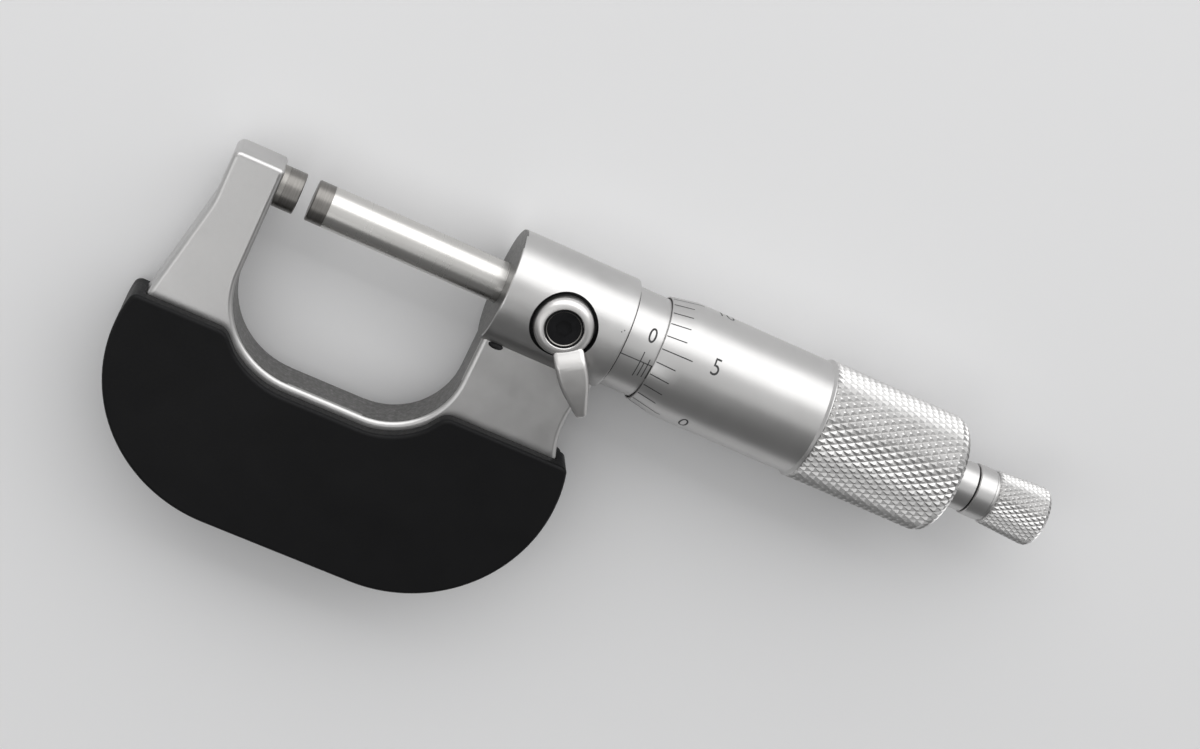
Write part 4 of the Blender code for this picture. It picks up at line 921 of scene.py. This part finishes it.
def build_ratchet():
    """Ratchet ring and the knurled knob, with a recess for its screw's head."""
    flange = THIMBLE_END + SEAT_GAP
    flange_end = flange + RATCHET_RING_LENGTH
    edge = FACE_CHAMFER
    piece("ratchet_collar", turned_mesh([
        (flange - THIMBLE_END_DISH, 0.0), (flange - THIMBLE_END_DISH, RATCHET_RING_RADIUS - edge),
        (flange, RATCHET_RING_RADIUS - edge), (flange + edge, RATCHET_RING_RADIUS),
        (flange_end - edge, RATCHET_RING_RADIUS), (flange_end, RATCHET_RING_RADIUS - edge),
        (flange_end, ARBOR_RADIUS), (KNOB_END - 2.0 * KNOB_RECESS, ARBOR_RADIUS),
        (KNOB_END - 2.0 * KNOB_RECESS, 0.0)], SMALL_ROUND),
        [BARREL], "thimble", ["ratchet_base"])
    collar_end = KNOB_START + KNOB_COLLAR_LENGTH
    recess = SCREW_HEAD_RADIUS + SEAT_GAP
    knurl_start = collar_end + 2.0 * KNOB_GROOVE
    core = KNOB_START_RADIUS - KNOB_KNURL_DEPTH - FIXED_GAP

    def radius_at(x):
        share = min(1.0, (x - knurl_start) / (KNOB_END - knurl_start) * KNOB_FLARE_RATE)
        wide = KNOB_START_RADIUS + (KNOB_END_RADIUS - KNOB_START_RADIUS) * share
        return rounded_end(x, KNOB_END, KNOB_ROUNDING, wide)

    def depth_at(x):
        return fading_depth(x, KNOB_END, KNOB_ROUNDING, KNOB_KNURL_DEPTH, KNOB_KNURL_END_SHARE)

    piece("ratchet_knob_body", turned_mesh([
        (KNOB_START, ARBOR_RADIUS + SEAT_GAP), (KNOB_START, KNOB_COLLAR_RADIUS - edge),
        (KNOB_START + edge, KNOB_COLLAR_RADIUS), (collar_end - edge, KNOB_COLLAR_RADIUS),
        (collar_end, KNOB_COLLAR_RADIUS - edge), (collar_end, KNOB_COLLAR_RADIUS - KNOB_GROOVE),
        (knurl_start, KNOB_COLLAR_RADIUS - KNOB_GROOVE), (knurl_start, core),
        (KNOB_END - KNOB_ROUNDING, core), (KNOB_END, core - KNOB_ROUNDING + FIXED_GAP),
        (KNOB_END, recess), (KNOB_END - KNOB_RECESS, recess),
        (KNOB_END - KNOB_RECESS, ARBOR_RADIUS + SEAT_GAP)], SMALL_ROUND),
        [BARREL], "ratchet_knob", ["ratchet_knob"])
    stations = knurl_stations(knurl_start + FIXED_GAP, KNOB_END - FIXED_GAP, KNOB_KNURL_PITCH)
    around = round(2.0 * math.pi * KNOB_END_RADIUS / KNOB_KNURL_PITCH)
    band = diamond_band(
        stations, radius_at, around, depth_at, KNOB_KNURL_FLAT, recess + SEAT_GAP)
    piece("ratchet_knob_knurl", band, [KNURLED], "ratchet_knob", (),
          KNURL_SHARP_ANGLE)


def crown_lever(paddle):
    """Bend the thumb piece's top down to the hub at its root and towards its tip."""
    for index in range(1, math.ceil((LEVER_LENGTH - LEVER_START) / LEVER_BEND_STEP)):
        sliced(paddle, (LEVER_START + index * LEVER_BEND_STEP, 0.0, 0.0), (1.0, 0.0, 0.0))
    root_drop = LEVER_UNDERSIDE + LEVER_THICK - HUB_TOP + FIXED_GAP
    for vert in paddle.verts:
        share = (vert.co.z - LEVER_UNDERSIDE) / LEVER_THICK
        root = max(0.0, 1.0 - (vert.co.x - LEVER_START) / LEVER_NECK_LENGTH)
        tip = max(0.0, (vert.co.x - LEVER_CROWN_START) / (LEVER_LENGTH - LEVER_CROWN_START))
        ease = root * root * (3.0 - 2.0 * root)
        vert.co.z -= share * (root_drop * ease + LEVER_TIP_DROP * tip * tip)


def build_lock():
    """Lock lever with its round hub, and the black clamp screw."""
    floor = HUB_TOP - HUB_COUNTERBORE_DEPTH
    room = PLUG_RADIUS + SEAT_GAP
    shoulder = arc((HUB_TOP - HUB_SHOULDER, HUB_RADIUS - HUB_SHOULDER), HUB_SHOULDER,
                   math.radians(90.0), 0.0, HUB_SHOULDER_STEPS)
    hub = upright(turned_mesh(
        [(HUB_UNDERSIDE, CLAMP_SCREW_RADIUS + FIXED_GAP), (HUB_UNDERSIDE, HUB_RADIUS)] + shoulder +
        [(HUB_TOP, room + SEAT_GAP), (HUB_TOP - SEAT_GAP, room), (floor, room),
         (floor, CLAMP_SCREW_RADIUS + FIXED_GAP)], SMALL_ROUND), LOCK_X, 0.0)
    paddle = plate_mesh(lever_outline(), LEVER_UNDERSIDE, LEVER_UNDERSIDE + LEVER_THICK,
                        LEVER_EDGE / 2.0, LEVER_EDGE, LEVER_EDGE_STEPS)
    crown_lever(paddle)
    shift(paddle, Matrix.Translation((LOCK_X, 0.0, 0.0)) @ Matrix.Rotation(LEVER_ANGLE, 4, "Z"))
    made = carved(hub, [("UNION", paddle)])
    piece("lock_lever_form", made, [LEVER_CHROME], "lock_lever", ["lock_lever"])
    top = HUB_TOP - PLUG_BELOW_HUB
    rim = PLUG_RADIUS - PLUG_RIM
    plug = upright(turned_mesh([
        (floor + FIXED_GAP, 0.0), (floor + FIXED_GAP, PLUG_RADIUS), (top - SEAT_GAP, PLUG_RADIUS),
        (top, PLUG_RADIUS - SEAT_GAP), (top, rim), (top - PLUG_EDGE, rim - PLUG_EDGE),
        (top - PLUG_RIM, rim - PLUG_EDGE), (top - PLUG_RIM, 0.0)], SMALL_ROUND), LOCK_X, 0.0)
    socket = upright(turned_mesh([
        (top - PLUG_SOCKET_DEPTH, 0.0), (top - PLUG_SOCKET_DEPTH, PLUG_SOCKET_RADIUS),
        (top + CUT_MARGIN, PLUG_SOCKET_RADIUS), (top + CUT_MARGIN, 0.0)], HEXAGON), LOCK_X, 0.0)
    made = carved(plug, [("DIFFERENCE", socket)])
    for face in made.faces:
        spot = face.calc_center_median()
        slanted = 0.3 < abs(face.normal.z) < 0.9
        if slanted and rim - PLUG_RIM < math.hypot(spot.x - LOCK_X, spot.y) < rim:
            face.material_index = 1
    piece("lock_screw_head", made, (OXIDE, DARK_GROUND), "lock_lever", ["lock_screw"])


# Scales

def wrapped_strip(bm, start, end, low, high, radius_at):
    """Thin raised patch on a round surface, from start to end and between two angles."""
    across = max(1, math.ceil(abs(high - low) * radius_at(start) / MARK_STEP))
    rows = []
    for x in (start, end):
        row = []
        for index in range(across + 1):
            turn = low + (high - low) * index / across
            radius = radius_at(x) + MARK_PROUD
            row.append(bm.verts.new((x, radius * math.sin(turn), radius * math.cos(turn))))
        rows.append(row)
    for index in range(across):
        bm.faces.new((rows[0][index], rows[1][index], rows[1][index + 1], rows[0][index + 1]))


def thimble_radius(x):
    """Radius of the thimble's smooth part at a station."""
    share = min(1.0, max(0.0, (x - THIMBLE_START) / READING_CONE_LENGTH))
    return THIMBLE_EDGE_RADIUS + (THIMBLE_RADIUS - THIMBLE_EDGE_RADIUS) * share


def wrapped_digits(bm, text, centre_x, turn, height, radius_at, weight):
    """Digits wrapped on a round surface, upright across the axis."""
    curve = bpy.data.curves.new("digits", "FONT")
    curve.body = text
    curve.size = 1.0
    curve.align_x = "CENTER"
    curve.align_y = "CENTER"
    curve.offset = weight
    curve.resolution_u = DIGIT_CURVE_STEPS
    label = bpy.data.objects.new("digits", curve)
    bpy.context.scene.collection.objects.link(label)
    shown = bpy.context.evaluated_depsgraph_get()
    flat = bmesh.new()
    flat.from_mesh(label.evaluated_get(shown).to_mesh())
    bpy.data.objects.remove(label, do_unlink=True)
    levels = [vert.co.y for vert in flat.verts]
    tall = max(levels) - min(levels)
    middle = (max(levels) + min(levels)) / 2.0
    scale = height / tall
    for index in range(1, math.ceil(height / MARK_STEP)):
        level = middle - tall / 2.0 + index * MARK_STEP / scale
        sliced(flat, (0.0, level, 0.0), (0.0, 1.0, 0.0))
    copies = {}
    for vert in flat.verts:
        x = centre_x + vert.co.x * scale * DIGIT_NARROWING
        radius = radius_at(x) + MARK_PROUD
        angle = turn + (vert.co.y - middle) * scale / radius
        copies[vert] = bm.verts.new((x, radius * math.sin(angle), radius * math.cos(angle)))
    for face in flat.faces:
        bm.faces.new([copies[vert] for vert in face.verts])
    flat.free()


def sleeve_radius(_):
    """Radius of the sleeve, the same at every station."""
    return SLEEVE_RADIUS


def head_radius(_):
    """Radius of the head, the same at every station."""
    return HEAD_RADIUS


def build_sleeve_scale():
    """Index line, 0.025 inch graduations and tenths' digits on the sleeve, and the head's dents as
    dark dots of painted shade.
    """
    bm = bmesh.new()
    half = 0.5 * LINE_WIDTH / SLEEVE_RADIUS
    wrapped_strip(bm, HEAD_END + SEAT_GAP + FACE_CHAMFER, SLEEVE_END - CUT_MARGIN,
                  INDEX_ANGLE - half, INDEX_ANGLE + half, sleeve_radius)
    for index in range(round(RANGE / GRADUATION) + 1):
        x = SCALE_ZERO + index * GRADUATION
        past_tenth = index % MARKS_A_TENTH
        low, high = {0: TENTH_MARK, MARKS_A_TENTH // 2: HALF_TENTH_MARK}.get(past_tenth, SHORT_MARK)
        wrapped_strip(bm, x - LINE_WIDTH / 2.0, x + LINE_WIDTH / 2.0, low, high, sleeve_radius)
        if past_tenth == 0:
            wrapped_digits(bm, str(index // MARKS_A_TENTH % 10), x + SLEEVE_DIGIT_ASIDE,
                           SLEEVE_DIGIT_ANGLE, DIGIT_HEIGHT, sleeve_radius, DIGIT_WEIGHT)
    # The dents are flat dark dots: painted shade in place of hollows.
    half = 0.5 * DENT_SIZE / HEAD_RADIUS
    for side in (-0.5, 0.5):
        x = DENT_X + side * DENT_SPACING
        turn = DENT_ANGLE + side * DENT_SPACING / HEAD_RADIUS
        wrapped_strip(bm, x - DENT_SIZE / 2.0, x + DENT_SIZE / 2.0, turn - half, turn + half,
                      head_radius)
    piece("sleeve_scale", bm, [PAINT], "frame")


def build_thimble_scale():
    """The 25 thimble divisions, with every fifth numbered."""
    bm = bmesh.new()
    division = 2.0 * math.pi / THIMBLE_DIVISIONS
    half = 0.5 * LINE_WIDTH / THIMBLE_EDGE_RADIUS
    start = THIMBLE_START + THIMBLE_MARK_INSET
    cone_end = THIMBLE_START + READING_CONE_LENGTH
    for index in range(THIMBLE_DIVISIONS):
        turn = INDEX_ANGLE + (index - THIMBLE_READING) * division
        numbered = index % THIMBLE_MARKS_A_NUMBER == 0
        end = start + (THIMBLE_NUMBERED_MARK if numbered else THIMBLE_MARK)
        stops = [start, cone_end, end] if end > cone_end else [start, end]
        for near, far in zip(stops, stops[1:]):
            wrapped_strip(bm, near, far, turn - half, turn + half, thimble_radius)
        if numbered:
            wrapped_digits(bm, str(index), THIMBLE_START + THIMBLE_DIGIT_PLACE,
                           turn + THIMBLE_DIGIT_RISE, THIMBLE_DIGIT_HEIGHT, thimble_radius,
                           THIMBLE_DIGIT_WEIGHT)
    piece("thimble_scale", bm, [PAINT], "thimble")


def finish_hidden_nodes():
    """Node materials for the carried-over nodes that sit inside."""
    ground = ("inner_sleeve", "adjusting_nut", "lock_washer", "ratchet_ring", "ratchet_spring",
              "ratchet_screw")
    finishes = {node: GROUND for node in ground}
    finishes["lock_slug"] = BRASS
    for node, finish in finishes.items():
        mesh = frame["nodes"][node].data
        mesh.materials.clear()
        mesh.materials.append(finish)


# Floor, light and camera

def build_floor():
    """Pale level floor under the tool."""
    bm = bmesh.new()
    bmesh.ops.create_grid(bm, x_segments=1, y_segments=1, size=FLOOR_SIZE)
    floor = loose(bm, "floor")
    floor.data.materials.append(FLOOR_PAPER)


def area_light(name, azimuth, elevation, aside, size, radiance):
    """Soft lamp that faces the tool, as bright as a surface of that radiance."""
    lamp = bpy.data.lights.new(name, "AREA")
    lamp.shape = "RECTANGLE"
    lamp.size, lamp.size_y = size
    lamp.energy = radiance * math.pi * size[0] * size[1]
    made = bpy.data.objects.new(name, lamp)
    turn = Euler((math.radians(elevation - 90.0), 0.0, math.radians(azimuth)))
    made.location = turn.to_matrix() @ Vector((aside, 0.0, LAMP_DISTANCE))
    made.rotation_euler = turn
    made.visible_camera = False
    bpy.context.scene.collection.objects.link(made)


def build_light():
    """Level studio light: a broad lamp beyond the throat, weaker ones overhead and at the ends."""
    world = bpy.data.worlds.new("studio")
    world.use_nodes = True
    backdrop = world.node_tree.nodes["Background"]
    backdrop.inputs["Color"].default_value = (WORLD_GREY, WORLD_GREY, WORLD_GREY, 1.0)
    backdrop.inputs["Strength"].default_value = WORLD_STRENGTH
    bpy.context.scene.world = world
    for lamp in LAMPS:
        area_light(*lamp)


def build_camera():
    """Camera at the photograph's viewpoint, set in the tool's own axes."""
    lens = bpy.data.cameras.new("view")
    lens.sensor_width = SENSOR_WIDTH
    lens.lens = CAMERA_LENS
    lens.clip_start = 0.01
    lens.clip_end = 10.0
    made = bpy.data.objects.new("view", lens)
    bpy.context.scene.collection.objects.link(made)
    turn = Euler(CAMERA_TURN, "XYZ").to_matrix().to_4x4()
    made.matrix_world = TOOL @ Matrix.Translation(CAMERA_PLACE) @ turn
    bpy.context.scene.camera = made


build_frame()
build_grip("front_grip", "front_cover", 1.0, 0.0)
build_grip("rear_grip", "rear_cover", -1.0, REAR_GRIP_DROP)
build_anvil_and_spindle()
build_sleeve()
build_thimble()
build_ratchet()
build_lock()
build_sleeve_scale()
build_thimble_scale()
finish_hidden_nodes()
build_floor()
build_light()
build_camera()

bpy.context.scene.view_settings.view_transform = "Standard"
